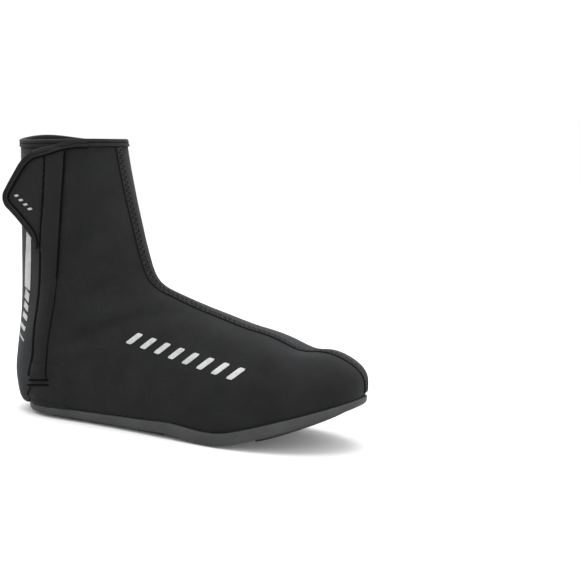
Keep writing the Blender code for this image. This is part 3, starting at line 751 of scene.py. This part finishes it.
def makeFlap():
    flap = copyOfNode("closure_flap", "closure_flap_cloth")
    soften(flap, flapShape)
    points = getPoints(flap)
    z = points[:, 2].copy()
    frontX, oldBack = placeAt(flapShape["frontLine"], z), backOf(points)
    # the back edge comes in to its line below the tab, and takes the cloth before it along
    comesIn = np.maximum(placeAt(flapShape["backEdge"], z) - oldBack, 0)
    comesIn *= ease((flapShape["backEdge"][0][1] - z) / flapShape["backBlend"])
    points[:, 0] += comesIn * np.clip((frontX - points[:, 0]) / (frontX - oldBack), 0, 1)
    # the front edge is rolled down, and a groove holds the tab's stitch line
    drop = flapShape["edgeDrop"] * (1 - ease((frontX - points[:, 0]) / flapShape["edgeWidth"]))
    onTab = ease((z - flapShape["stitchLine"][-1][1]) / flapShape["tabBlend"])
    toLine = bell(points[:, 0], placeAt(flapShape["stitchLine"], z), flapShape["grooveWidth"])
    outer = getNormals(flap)[:, 1] < 0
    points[:, 1] += (drop + flapShape["groove"] * onTab * toLine) * outer
    slip = ease((z - flapShape["slipFrom"]) / flapShape["slipOver"])
    slip *= ease((points[:, 0] - flapShape["slipBack"]) / flapShape["slipOver"])
    points[:, 2] += flapShape["slipUp"] * slip
    points[:, 1] -= flapShape["slipOut"] * slip
    setPoints(flap, points)
    return finishPiece(flap, neopreneFace)


closureFlap = makeFlap()
print("flap smoothed:", len(closureFlap.data.polygons), "faces")


# Collar hem: tape folded over the edge, with a stitched channel round its outer face

hemShape = {
    "levels": 2, "edgeAngle": 50, "edgeCrease": 0.15, "slope": 0.058, "shorter": 0.79, "radius": 0.038,
    "channelAt": 0.0035, "channelHalf": 0.0008, "channelDeep": 0.0006, "stitch": 0.0019, "thread": 0.0009,
    # the painted shadow under its lower edge, a thin dark line
    "lineDrop": 0.0001, "lineWidth": 0.0011, "lineThickness": 0.00015,
}


def hemLevel(points):
    # heights measured from the hem's own slope
    return points[:, 2] - hemShape["slope"] * points[:, 0]


def makeHem():
    hem = copyOfNode("collar_hem", "collar_hem_tape")
    points = getPoints(hem)
    top = np.percentile(hemLevel(points), 98)
    points[:, 2] += np.maximum(top - hemLevel(points), 0) * (1 - hemShape["shorter"])
    low = np.percentile(hemLevel(points), 2)
    setPoints(hem, points)
    channel = top - hemShape["channelAt"]
    startEdit(hem)
    for shift in (-1, 0, 1):
        bpy.ops.mesh.select_all(action="SELECT")
        height = channel + shift * hemShape["channelHalf"]
        bpy.ops.mesh.bisect(plane_co=(0, 0, height), plane_no=(-hemShape["slope"], 0, 1))
    endEdit()
    points, normals = getPoints(hem), getNormals(hem)
    away = points[:, :2] - np.array(shaftAxis[:2])
    outer = (normals[:, :2] * away).sum(1) > 0
    inChannel = outer & (np.abs(hemLevel(points) - channel) < hemShape["channelHalf"] / 2)
    points[inChannel] -= normals[inChannel] * hemShape["channelDeep"]
    setPoints(hem, points)
    soften(hem, hemShape)
    points = getPoints(hem)
    points[:, 2] += humpOf(points)
    setPoints(hem, points)
    return finishPiece(hem, bindingTape), channel, low


collarHem, hemChannel, hemLow = makeHem()
print("hem folded:", len(collarHem.data.polygons), "faces")


# Front seam: a flatlock band down the shaft, the instep and the toe, sewn with a zigzag of thread

seamShape = {
    "width": 0.0066, "thickness": 0.0006, "rise": 0.0003, "pitch": 0.0022, "reach": 0.0027, "thread": 0.0009,
    "overlap": 1.05,
}
seamRun = {
    # the seam's place across the foot at each x, and the rays that find it: outer and inner ends in side view
    "aside": ((0.0125, -0.0080), (0.0502, -0.0061), (0.0850, -0.0080), (0.1343, -0.0092), (0.1600, -0.0086),
              (0.1720, -0.0074), (0.1952, -0.0062), (0.2155, -0.0040), (0.2300, -0.0015)),
    "outer": ((0.060, 0.2212), (0.070, 0.150), (0.090, 0.150), (0.130, 0.130), (0.220, 0.120), (0.260, 0.095),
              (0.270, 0.060), (0.270, 0.0458)),
    "inner": ((-0.02, 0.2212), (-0.02, 0.150), (0.0, 0.090), (0.06, 0.050), (0.16, 0.030), (0.19, 0.040),
              (0.19, 0.045), (0.19, 0.0458)),
    "rays": 260, "firstGuess": -0.008,
}


def seamPath(tree):
    sidePlaces = np.array(seamRun["aside"]).T
    share = np.linspace(0, len(seamRun["outer"]) - 1, seamRun["rays"])
    starts, ends = (np.column_stack([np.interp(share, range(len(seamRun[end])), column)
                                     for column in np.array(seamRun[end]).T]) for end in ("outer", "inner"))
    found = []
    for start, end in zip(starts, ends):
        y = seamRun["firstGuess"]
        ray = Vector((end[0] - start[0], 0, end[1] - start[1])).normalized()
        for _ in range(3):
            place, normal, _, _ = tree.ray_cast(Vector((start[0], y, start[1])), ray)
            if place is None:
                break
            y = float(np.interp(place.x, *sidePlaces))
        if place is not None:
            found.append((place, normal))
    return evenPath(found, seamShape["pitch"])


frontSeam = strip("front_seam_band", seamPath(treeOf(upperShell)), seamShape["width"], seamShape["thickness"],
                  seamBand, seamShape["rise"], 6)
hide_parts("front_seam")
shoeTree = treeOf(upperShell, frontSeam, closureFlap, collarHem)
frontThread = flatlock("front_seam_thread", seamPath(shoeTree), seamShape["reach"], seamShape,
                       seamShape["pitch"] * seamShape["overlap"])
print("front seam sewn:", len(frontThread.data.polygons), "faces")


# Hem stitching, and the binding that leaves the collar and runs down the tab's edge

def ringAt(level, step):
    # a path right round the collar at one level of the hem
    around = []
    for angle in range(360):
        out = outAt(angle)
        place = shaftAxis + out * hemShape["radius"] + Vector((0, 0, level))
        for _ in range(2):
            rise = float(humpOf(np.array([place[:]]))[0])
            found, _ = fromRound(shoeTree, angle, level + hemShape["slope"] * place.x + rise)
            # a ray that passes over the near edge meets the far wall, which doesn't count
            if found is not None and (found - shaftAxis).dot(out) > 0:
                place = found
        around.append((place, out))
    return evenPath(around + around[:1], step)


stitchShare, stitchSink = 0.86, 0.0001  # a stitch's share of its step, and how far it lies in the tape
sew("hem_thread", runStitches(ringAt(hemChannel, hemShape["stitch"]), hemShape["stitch"] * stitchShare,
                              hemShape["thread"], stitchSink), blackThreadAndShade)
# a thin dark strip painted as the shadow under the hem's lower edge
strip("hem_painted_shadow_line", ringAt(hemLow - hemShape["lineDrop"], hemShape["stitch"]), hemShape["lineWidth"],
      hemShape["lineThickness"], blackThreadAndShade)

bindingShape = {
    # the binding's outer edge in side view from the front seam back to the tab, then the tab's own edge
    "collarEdge": ((-0.0010, 0.2266), (-0.0063, 0.2264), (-0.0113, 0.2260), (-0.0205, 0.2236), (-0.0250, 0.2220),
                   (-0.0293, 0.2203), (-0.0347, 0.2186), (-0.0405, 0.2169), (-0.0444, 0.2154)),
    "step": 0.0016, "collarWidth": 0.0056, "tabWidth": 0.0046, "thickness": 0.0008, "lift": 0.0008, "columns": 8,
    "channelAt": 0.62, "channel": 0.0005, "channelWidth": 0.10,
    "stitch": 0.0021, "thread": 0.0008, "overhang": 0.0004, "evening": 8,
    # the painted shadow line along its inner edge, and the taper and narrowing at its end
    "lineWidth": 0.0015, "lineThickness": 0.0002, "taper": 0.012, "narrow": 0.35,
    # where it leaves the collar for the tab, and the tab's foot with the spacing of the rows read off the solid
    "tabFrom": 0.2190, "tabOver": 0.012, "endsAt": 0.1356, "rowGap": 0.0022, "rowHalf": 0.0012,
    # the tab faces a little backwards below this height, and its cloth is felt from this far off
    "tabTop": 0.215, "tabFacing": -0.25, "middle": (-0.022, 0.178), "feel": 0.008, "deepest": 0.0035,
}


def tabEdge():
    # the tab's free edge, from its top to its foot, read off the solid tape that binds it
    points = getPoints(cadNodes["tab_tape"])
    edge, last = [], np.inf
    for height in np.unique(points[:, 2].round(3))[::-1]:
        if height < bindingShape["endsAt"] or last - height < bindingShape["rowGap"]:
            continue
        row = points[np.abs(points[:, 2] - height) < bindingShape["rowHalf"]]
        edge.append(tuple(row[row[:, 0].argmin()]))
        last = height
    return edge


def bindingWidth(height, toEnd):
    # wider along the collar than on the tab, and tapered to its end
    onTab = float(ease((bindingShape["tabFrom"] - height) / bindingShape["tabOver"]))
    width = bindingShape["collarWidth"] + (bindingShape["tabWidth"] - bindingShape["collarWidth"]) * onTab
    narrow = bindingShape["narrow"]
    return width * (narrow + (1 - narrow) * float(ease(toEnd / bindingShape["taper"])))


def makeBinding():
    collar = [tuple(fromSide(shoeTree, x, z)[0]) for x, z in bindingShape["collarEdge"]]
    edge = [Vector(place) for place in evenLine(collar + tabEdge(), bindingShape["step"])]
    columns, channelAt = bindingShape["columns"], bindingShape["channelAt"]
    lay, facing = [], []
    for i, here in enumerate(edge):
        along = (edge[min(i + 1, len(edge) - 1)] - edge[max(i - 1, 0)]).normalized()
        out = Vector((bindingShape["tabFacing"] if here.z < bindingShape["tabTop"] else 0.0, -1, 0)).normalized()
        inward = along.cross(out).normalized()
        middle = Vector((bindingShape["middle"][0], here.y, bindingShape["middle"][1]))
        if inward.dot(middle - here) < 0:
            inward = -inward
        width = bindingWidth(here.z, (len(edge) - 1 - i) * bindingShape["step"])
        row = []
        for v in np.linspace(0, 1, columns + 1):
            spot = here + inward * (width * v - bindingShape["overhang"])
            place = shoeTree.ray_cast(spot + out * bindingShape["feel"], -out, 2 * bindingShape["feel"])[0]
            if place is None or abs((place - spot).dot(out)) > bindingShape["deepest"]:
                place = spot
            groove = bindingShape["channel"] * bell(v, channelAt, bindingShape["channelWidth"])
            row.append((place + out * (bindingShape["lift"] - groove))[:])
        lay.append(row)
        facing.append(out)
    # even the strip out, so that it bridges small steps between the layers beneath it
    lay = np.array(lay)
    for _ in range(bindingShape["evening"]):
        lay[1:-1] = 0.5 * lay[1:-1] + 0.25 * (lay[:-2] + lay[2:])
    rows = [[(Vector(place), out) for place in row] for row, out in zip(lay, facing)]
    binding = finishPiece(gridPiece("tab_binding", rows, bindingShape["thickness"]), bindingTape)
    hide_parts("tab_tape")
    inner = [(row[-1][0] * 2 - row[-2][0], row[-1][1]) for row in rows]
    # a thin dark strip painted as the shade along the binding's inner edge
    strip("binding_painted_shadow_line", inner, bindingShape["lineWidth"], bindingShape["lineThickness"], blackThreadAndShade)
    return raised([row[round(channelAt * columns)] for row in rows], bindingShape["thickness"])


bindingLine = evenLine([place[:] for place, _ in makeBinding()], bindingShape["stitch"])
tabOut = Vector((-0.2, -1, 0)).normalized()
sew("binding_thread", runStitches([(Vector(place), tabOut) for place in bindingLine],
                                  bindingShape["stitch"] * stitchShare, bindingShape["thread"]), blackThreadAndShade)
print("binding laid along the collar and the tab")


# Seams on the flap: its front seam and the stitch line at the tab's root, each over a dark strip of painted shade in
# its groove, and a dark strip painted as the shadow at the flap's back edge

flapSeams = {
    # stitches, and the dark strips painted as shade in the seams' grooves and as the shadow behind the flap's back
    # edge
    "step": 0.0024, "stitchShare": 0.82, "thread": 0.0011, "grooveShadeWidth": 0.0019, "shadeStripThickness": 0.00025,
    "grooveShadeSink": 0.00005, "creviceWidth": 0.0038, "creviceBack": 0.0016, "creviceTop": (-0.0380, 0.1440),
}


def makeFlapSeams():
    layers, step = treeOf(upperShell, closureFlap, collarHem), flapSeams["step"]
    thickness = flapSeams["shadeStripThickness"]
    for name, line in (("flap_front_seam", flapShape["frontLine"]), ("tab_root_seam", flapShape["stitchLine"])):
        path = onSide(layers, evenLine(line, step))
        # a dark strip painted as the shade in the seam's groove, under its stitches
        strip(name + "_groove_painted_shade", raised(path, -flapSeams["grooveShadeSink"]), flapSeams["grooveShadeWidth"], thickness, blackThreadAndShade)
        sew(name + "_thread", runStitches(raised(path, thickness), step * flapSeams["stitchShare"],
                                          flapSeams["thread"], stitchSink), blackThreadAndShade)
    # the shadow that the flap's back edge casts on the rear panel, painted as a dark strip just behind that edge
    edge = [(x - flapSeams["creviceBack"], z) for x, z in (flapSeams["creviceTop"], *flapShape["backEdge"])]
    path = onSide(treeOf(upperShell), evenLine(edge, step))
    strip("flap_back_painted_shadow", path, flapSeams["creviceWidth"], thickness, blackThreadAndShade)


makeFlapSeams()
print("flap seams sewn")


# Reflective stripe and its five dashes on the rear panel, and two rows of plain bars

reflective = {
    "lift": 0.00015, "thickness": 0.0003, "step": 0.003, "dashStep": 0.0016,
    # bars: rows of faces, and the cut of their corners as shares of height and width
    "barRows": 8, "cutAt": 0.42, "cut": 0.72,
    "stripe": (((-0.0552, 0.1500), (-0.0552, 0.1460), (-0.0565, 0.1303), (-0.0573, 0.1178), (-0.0573, 0.1045)),
               ((-0.0480, 0.1530), (-0.0492, 0.1435), (-0.0493, 0.1272), (-0.0496, 0.1149), (-0.0498, 0.1019))),
    # corners of the dashes: back top, front top, front bottom, back bottom
    "dashes": (
        ((-0.0557, 0.1030), (-0.0503, 0.0992), (-0.0510, 0.0921), (-0.0572, 0.0954)),
        ((-0.0564, 0.0929), (-0.0509, 0.0892), (-0.0514, 0.0844), (-0.0581, 0.0879)),
        ((-0.0577, 0.0840), (-0.0510, 0.0809), (-0.0517, 0.0768), (-0.0590, 0.0798)),
        ((-0.0605, 0.0748), (-0.0523, 0.0715), (-0.0538, 0.0681), (-0.0612, 0.0715)),
        ((-0.0615, 0.0653), (-0.0534, 0.0613), (-0.0540, 0.0598), (-0.0597, 0.0631)),
    ),
    # a row of plain slanted bars along the foot's side
    "side_bar": {"from": (0.0480, 0.0735), "to": (0.1400, 0.0580), "bars": 8, "height": 0.0100, "width": 0.0052,
                 "slant": 0.0040},
    # short dashes on the tab
    "tab_bar": {"from": (-0.0625, 0.1785), "to": (-0.0480, 0.1690), "bars": 4, "height": 0.0030, "width": 0.0024,
                "slant": 0.0012},
}


def slantedBar(name, tree, middle, along, shape):
    # a bar with cut corners, standing across the line that it belongs to
    along = np.array(along) / np.linalg.norm(along)
    upward = np.array((-along[1], along[0]))
    upward *= 1 if upward[1] >= 0 else -1
    left, right = [], []
    cut, cutAt = reflective["cut"], reflective["cutAt"]
    for share, narrow in ((-0.5, cut), (-cutAt, 1.0), (cutAt, 1.0), (0.5, cut)):
        centre = middle + upward * shape["height"] * share + along * shape["slant"] * share * 2
        left.append(centre - along * shape["width"] * narrow / 2)
        right.append(centre + along * shape["width"] * narrow / 2)
    return panel(name, tree, (left, right), shape["height"] / reflective["barRows"], reflective, reflectiveFilm, 4)


def makeReflective():
    layers = treeOf(upperShell)
    made = [panel("rear_stripe", layers, reflective["stripe"], reflective["step"], reflective, reflectiveFilm)]
    for count, (backTop, frontTop, frontLow, backLow) in enumerate(reflective["dashes"], 1):
        made.append(panel(f"rear_dash_{count}", layers, ((backTop, backLow), (frontTop, frontLow)),
                          reflective["dashStep"], reflective, reflectiveFilm))
    for label, tree in (("side_bar", layers), ("tab_bar", treeOf(closureFlap))):
        row = reflective[label]
        first, last = np.array(row["from"]), np.array(row["to"])
        for count in range(row["bars"]):
            middle = first + (last - first) * count / (row["bars"] - 1)
            made.append(slantedBar(f"{label}_{count + 1}", tree, middle, last - first, row))
    return made


print("reflective film applied:", len(makeReflective()), "pieces")


# Foot of the flap: a small patch, two bar tacks and the short seam under them

footShape = {
    "patch": (((-0.0424, 0.0438), (-0.0448, 0.0325)), ((-0.0298, 0.0450), (-0.0308, 0.0338))), "patchStep": 0.0016,
    "lift": 0.0001, "thickness": 0.0005,
    "tacks": (((-0.0458, 0.0298), (-0.0279, 0.0317)), ((-0.0492, 0.0242), (-0.0280, 0.0275))),
    "tackStep": 0.0009, "tackRun": (0.25, 0, 1), "thread": 0.0013, "length": 0.0018,
    "lowSeam": ((-0.0468, 0.0227), (-0.0500, 0.0182), (-0.0525, 0.0146)), "lowStep": 0.002,
}


def makeFlapFoot():
    layers = treeOf(upperShell, closureFlap)
    panel("foot_patch", layers, footShape["patch"], footShape["patchStep"], footShape, neopreneFace, 8)
    length, thread = footShape["length"], footShape["thread"]
    stitches = [(place, Vector(footShape["tackRun"]), normal, length, thread) for ends in footShape["tacks"]
                for place, normal in onSide(layers, evenLine(ends, footShape["tackStep"]))]
    stitches += runStitches(onSide(layers, evenLine(footShape["lowSeam"], footShape["lowStep"])), length, thread)
    sew("foot_tacks", stitches, blackThreadAndShade)


makeFlapFoot()


# Inner side: the seam between the rear panel and the front one, which the photograph doesn't show

innerSeam = {
    "line": ((-0.0305, 0.2195), (-0.0310, 0.2150), (-0.0330, 0.1900), (-0.0345, 0.1500), (-0.0350, 0.1100),
             (-0.0352, 0.0800), (-0.0385, 0.0480), (-0.0450, 0.0290), (-0.0515, 0.0160)),
    "step": 0.0024, "thread": 0.00075, "width": 0.0058, "thickness": 0.0004, "rise": 0.0002,
    "reach": 0.36, "stitchShare": 0.85,
}


def makeInnerSeam():
    path = onSide(treeOf(upperShell, collarHem), evenLine(innerSeam["line"], innerSeam["step"]), 1)
    width, thickness = innerSeam["width"], innerSeam["thickness"]
    strip("inner_seam_band", path, width, thickness, bindingTape, innerSeam["rise"], 4)
    flatlock("inner_seam_thread", raised(path, thickness), width * innerSeam["reach"], innerSeam,
             innerSeam["step"] * innerSeam["stitchShare"])


makeInnerSeam()
print("inner seam sewn")


# Tread pads: a thin lip round each, and diamond studs of which the outer ones are cut at the lip

treadShape = {
    "lip": 0.0012, "deep": 0.0009, "facesDown": -0.6, "heelPitch": 0.0029, "toePitch": 0.0027,
    "studFoot": 0.86, "studTip": 0.52, "sink": 0.00015, "smallest": 0.30, "keepIn": 0.94,
    # the bare plate in the heel pad: lowest and highest corner in plan, and its frame
    "plate": ((-0.0217, -0.0085), (0.0592, 0.0037)), "plateHigh": 0.0004, "plateRound": 0.0022,
    "frame": 0.0009, "frameHigh": 0.0008, "plateStep": 0.00126, "plateRise": 0.00015,
}


def outlineOf(mesh, faces):
    # the closed outline of a patch of faces, in plan
    count = {}
    for face in faces:
        for key in face.edge_keys:
            count[key] = count.get(key, 0) + 1
    rim = {}
    for (a, b), uses in count.items():
        if uses == 1:
            rim.setdefault(a, []).append(b)
            rim.setdefault(b, []).append(a)
    loop, last = [next(iter(rim))], None
    while True:
        after = next((other for other in rim[loop[-1]] if other != last), None)
        if after is None or after == loop[0]:
            break
        last = loop[-1]
        loop.append(after)
    return np.array([mesh.vertices[i].co[:2] for i in loop])


def insideOutline(outline, spot):
    x, y = spot
    xs, ys = outline.T
    nextXs, nextYs = np.roll(xs, -1), np.roll(ys, -1)
    crosses = ((ys > y) != (nextYs > y)) & (x < (nextXs - xs) * (y - ys) / (nextYs - ys + 1e-12) + xs)
    return crosses.sum() % 2 == 1


def nearestOnOutline(outline, spot):
    runs = np.roll(outline, -1, axis=0) - outline
    share = np.clip(((spot - outline) * runs).sum(1) / ((runs ** 2).sum(1) + 1e-12), 0, 1)
    feet = outline + runs * share[:, None]
    return feet[((feet - spot) ** 2).sum(1).argmin()]


def studPlan(outline, centre, step):
    # the foot's four corners and the tip's, kept inside the outline
    ring = []
    for size in (treadShape["studFoot"], treadShape["studTip"]):
        for corner in ((1, 0), (0, 1), (-1, 0), (0, -1)):
            spot = centre + np.array(corner) * step * size
            if not insideOutline(outline, spot):
                spot = centre + (nearestOnOutline(outline, spot) - centre) * treadShape["keepIn"]
            ring.append(spot)
    return ring


def makeStuds(name, solidTree, outline, pitch, keepOut):
    low, high = outline.min(0), outline.max(0)
    step = pitch / math.sqrt(2)
    smallest = treadShape["smallest"] * 2 * (step * treadShape["studFoot"]) ** 2
    points, faces = [], []
    for i, j in np.ndindex(*(((high - low) / step).astype(int) + 2)):
        centre = low + np.array((i, j)) * step
        if (i + j) % 2 or not insideOutline(outline, centre):
            continue
        if keepOut and all(keepOut[0][k] < centre[k] < keepOut[1][k] for k in (0, 1)):
            continue
        place, normal = fromBelow(solidTree, *centre)
        if place is None:
            continue
        ring = studPlan(outline, centre, step)
        xs, ys = np.array(ring[:4]).T
        if abs((xs * np.roll(ys, -1) - np.roll(xs, -1) * ys).sum()) / 2 < smallest:
            continue
        start = len(points)
        for k, (x, y) in enumerate(ring):
            slope = normal.x * (x - centre[0]) + normal.y * (y - centre[1])
            inward = treadShape["deep"] + treadShape["sink"] if k < 4 else 0.0
            onPad = place + Vector((x - centre[0], y - centre[1], -slope / normal.z))
            points.append((onPad - normal * inward)[:])
        corners = [(0, 1, 2, 3), (4, 7, 6, 5), *((k, 4 + k, 4 + (k + 1) % 4, (k + 1) % 4) for k in range(4))]
        faces += [tuple(start + corner for corner in face) for face in corners]
    studs = pieceFrom(name, points, faces)
    startEdit(studs)
    bpy.ops.mesh.normals_make_consistent(inside=False)
    endEdit()
    return finishPiece(studs, treadRubber, angle=30)


def makePad(nodeName, pitch, keepOut=None):
    name = nodeName + "_pad"
    pad = copyOfNode(nodeName, name)
    solidTree = treeOf(pad)
    startEdit(pad, "DESELECT", "FACE")
    endEdit()
    for face in pad.data.polygons:
        face.select = face.normal.z < treadShape["facesDown"]
    bpy.ops.object.mode_set(mode="EDIT")
    bpy.ops.mesh.inset(thickness=treadShape["lip"], use_boundary=True, use_even_offset=True)
    endEdit()
    outline = outlineOf(pad.data, [face for face in pad.data.polygons if face.select])
    # the field inside the lip goes in by the depth of the studs, with a steep little wall
    bpy.ops.object.mode_set(mode="EDIT")
    bpy.ops.mesh.extrude_region_shrink_fatten(TRANSFORM_OT_shrink_fatten={"value": -treadShape["deep"]})
    endEdit()
    finishPiece(pad, treadRubber, angle=35)
    return makeStuds(name + "_studs", solidTree, outline, pitch, keepOut)


heelStuds = makePad("heel_tread", treadShape["heelPitch"], treadShape["plate"])
toeStuds = makePad("toe_tread", treadShape["toePitch"])
print("tread cut:", (len(heelStuds.data.polygons) + len(toeStuds.data.polygons)) // 6, "studs")


def makePlate():
    # the bare plate with its raised frame, where the heel pad has no studs
    (lowX, lowY), (highX, highY) = treadShape["plate"]
    inset = treadShape["lip"]
    bpy.ops.object.select_all(action="DESELECT")
    bpy.ops.mesh.primitive_cube_add(size=1)
    plate = bpy.context.object
    plate.name = plate.data.name = "heel_tread_plate"
    top, bottom = treadShape["deep"] + treadShape["sink"], treadShape["deep"] - treadShape["frameHigh"]
    plate.scale = (highX - lowX - 2 * inset, highY - lowY - 2 * inset, top - bottom)
    plate.location = ((lowX + highX) / 2, (lowY + highY) / 2, (top + bottom) / 2)
    bpy.ops.object.transform_apply(location=True, rotation=False, scale=True)
    # round its upright edges
    startEdit(plate, "DESELECT", "EDGE")
    endEdit()
    for edge in plate.data.edges:
        a, b = (plate.data.vertices[i].co for i in edge.vertices)
        edge.select = abs(a.z - b.z) > (top - bottom) / 2
    bpy.ops.object.mode_set(mode="EDIT")
    bpy.ops.mesh.bevel(offset=treadShape["plateRound"], segments=4)
    # sink its face inside the frame, and raise the middle again a little
    bpy.ops.mesh.select_mode(type="FACE")
    bpy.ops.mesh.select_all(action="DESELECT")
    endEdit()
    min(plate.data.polygons, key=lambda face: face.center.z).select = True
    bpy.ops.object.mode_set(mode="EDIT")
    for width, rise in ((treadShape["frame"], treadShape["frameHigh"] - treadShape["plateHigh"]),
                        (treadShape["plateStep"], -treadShape["plateRise"])):
        bpy.ops.mesh.inset(thickness=width)
        bpy.ops.transform.translate(value=(0, 0, rise))
    endEdit()
    return finishPiece(plate, treadRubber, angle=35)


makePlate()


# Guide lines moulded into the sole between the pads, as low ridges

guideShape = {
    "width": 0.0010, "thickness": 0.00014, "step": 0.003,
    # in the sole's own plan: along from the heel as a share of its length, and across towards the inner side in mm
    "lines": (
        ((0.49, 25.2), (0.51, 31.9), (0.547, 34.8), (0.628, 34.7),
         (0.667, 29.4), (0.701, 28.9), (0.725, 22.4)),
        ((0.487, 4.0), (0.494, -16.4), (0.513, -33.7), (0.537, -40.3),
         (0.611, -39.8), (0.677, -38.9), (0.692, -34.5)),
        ((0.522, 21.3), (0.538, 25.1), (0.602, 27.5), (0.67, 26.5)),
        ((0.516, 2.1), (0.521, -14.3), (0.539, -29.7),
         (0.571, -34.5), (0.638, -34.5), (0.685, -34.1)),
        ((0.722, 19.1), (0.74, 6.8), (0.747, -17.7), (0.753, -25.7)),
        ((0.685, 25.6), (0.735, 16.9), (0.802, 11.6), (0.839, 1.9),
         (0.846, -10.1), (0.822, -18.3), (0.746, -23.0)),
    ),
    "length": 0.290, "restFromHeel": 0.060,
}


def makeGuideLines():
    soleTree = treeOf(outsoleCup)
    for count, line in enumerate(guideShape["lines"], 1):
        plan = [(along * guideShape["length"] - guideShape["restFromHeel"], across / 1000) for along, across in line]
        path = [fromBelow(soleTree, x, y) for x, y in evenLine(plan, guideShape["step"])]
        strip(f"sole_guide_{count}", [spot for spot in path if spot[0] is not None], guideShape["width"],
              guideShape["thickness"], soleRubber)


makeGuideLines()
print("guide lines moulded")


# Floor and soft studio light

studio = {
    "floorSize": 60.0, "floorHeight": -0.0004, "floorTone": (0.94, 0.94, 0.94),
    "floorRoughness": 0.9, "floorSpecular": 0.1,
    # the sky, and how bright the light from under the horizon is beside it
    "sky": (1.0, 1.0, 1.0), "skyPower": 1.08, "below": 0.42, "belowTo": 0.44, "skyFrom": 0.5,
    "lamps": (
        # name, place, size, power
        ("lamp_over", (0.16, -0.10, 1.40), 1.2, 11.0),
        ("lamp_front", (0.60, -1.30, 1.00), 1.0, 2.5),
        ("lamp_toe", (1.15, -0.50, 0.12), 0.5, 6.0),
        ("lamp_back", (-1.00, 0.30, 0.80), 1.0, 4.0),
    ),
    "aim": (0.06, 0.0, 0.09),
}


def makeStudio():
    bpy.ops.mesh.primitive_plane_add(size=studio["floorSize"], location=(0, 0, studio["floorHeight"]))
    floor = bpy.context.object
    floor.name = "studio_floor"
    paper, _, _ = newMaterial("floor_paper", {
        "Base Color": (*studio["floorTone"], 1), "Roughness": studio["floorRoughness"],
        "Specular IOR Level": studio["floorSpecular"]})
    floor.data.materials.append(paper)
    floor.visible_diffuse = False  # it throws no light back onto the dark cloth
    world = bpy.data.worlds.new("studio_sky")
    world.use_nodes = True
    tree = world.node_tree
    up = node(tree, "SeparateXYZ", {"Vector": node(tree, "TexCoord")["Generated"]})["Z"]
    stops = (studio["belowTo"], [studio["below"]] * 3), (studio["skyFrom"], studio["sky"])
    wire(tree, tree.nodes["Background"], {
        "Strength": studio["skyPower"], "Color": colourRamp(tree, mapRange(tree, up, fromMin=-1.0), stops)})
    bpy.context.scene.world = world
    bpy.context.scene.view_settings.view_transform = "Standard"
    for name, place, size, power in studio["lamps"]:
        bpy.ops.object.light_add(type="AREA", location=place)
        lamp = bpy.context.object
        lamp.name = name
        lamp.data.shape = "DISK"
        lamp.data.size = size
        lamp.data.energy = power
        aim = Vector(studio["aim"]) - Vector(place)
        lamp.rotation_euler = aim.to_track_quat("-Z", "Y").to_euler()


makeStudio()
print("studio lit")
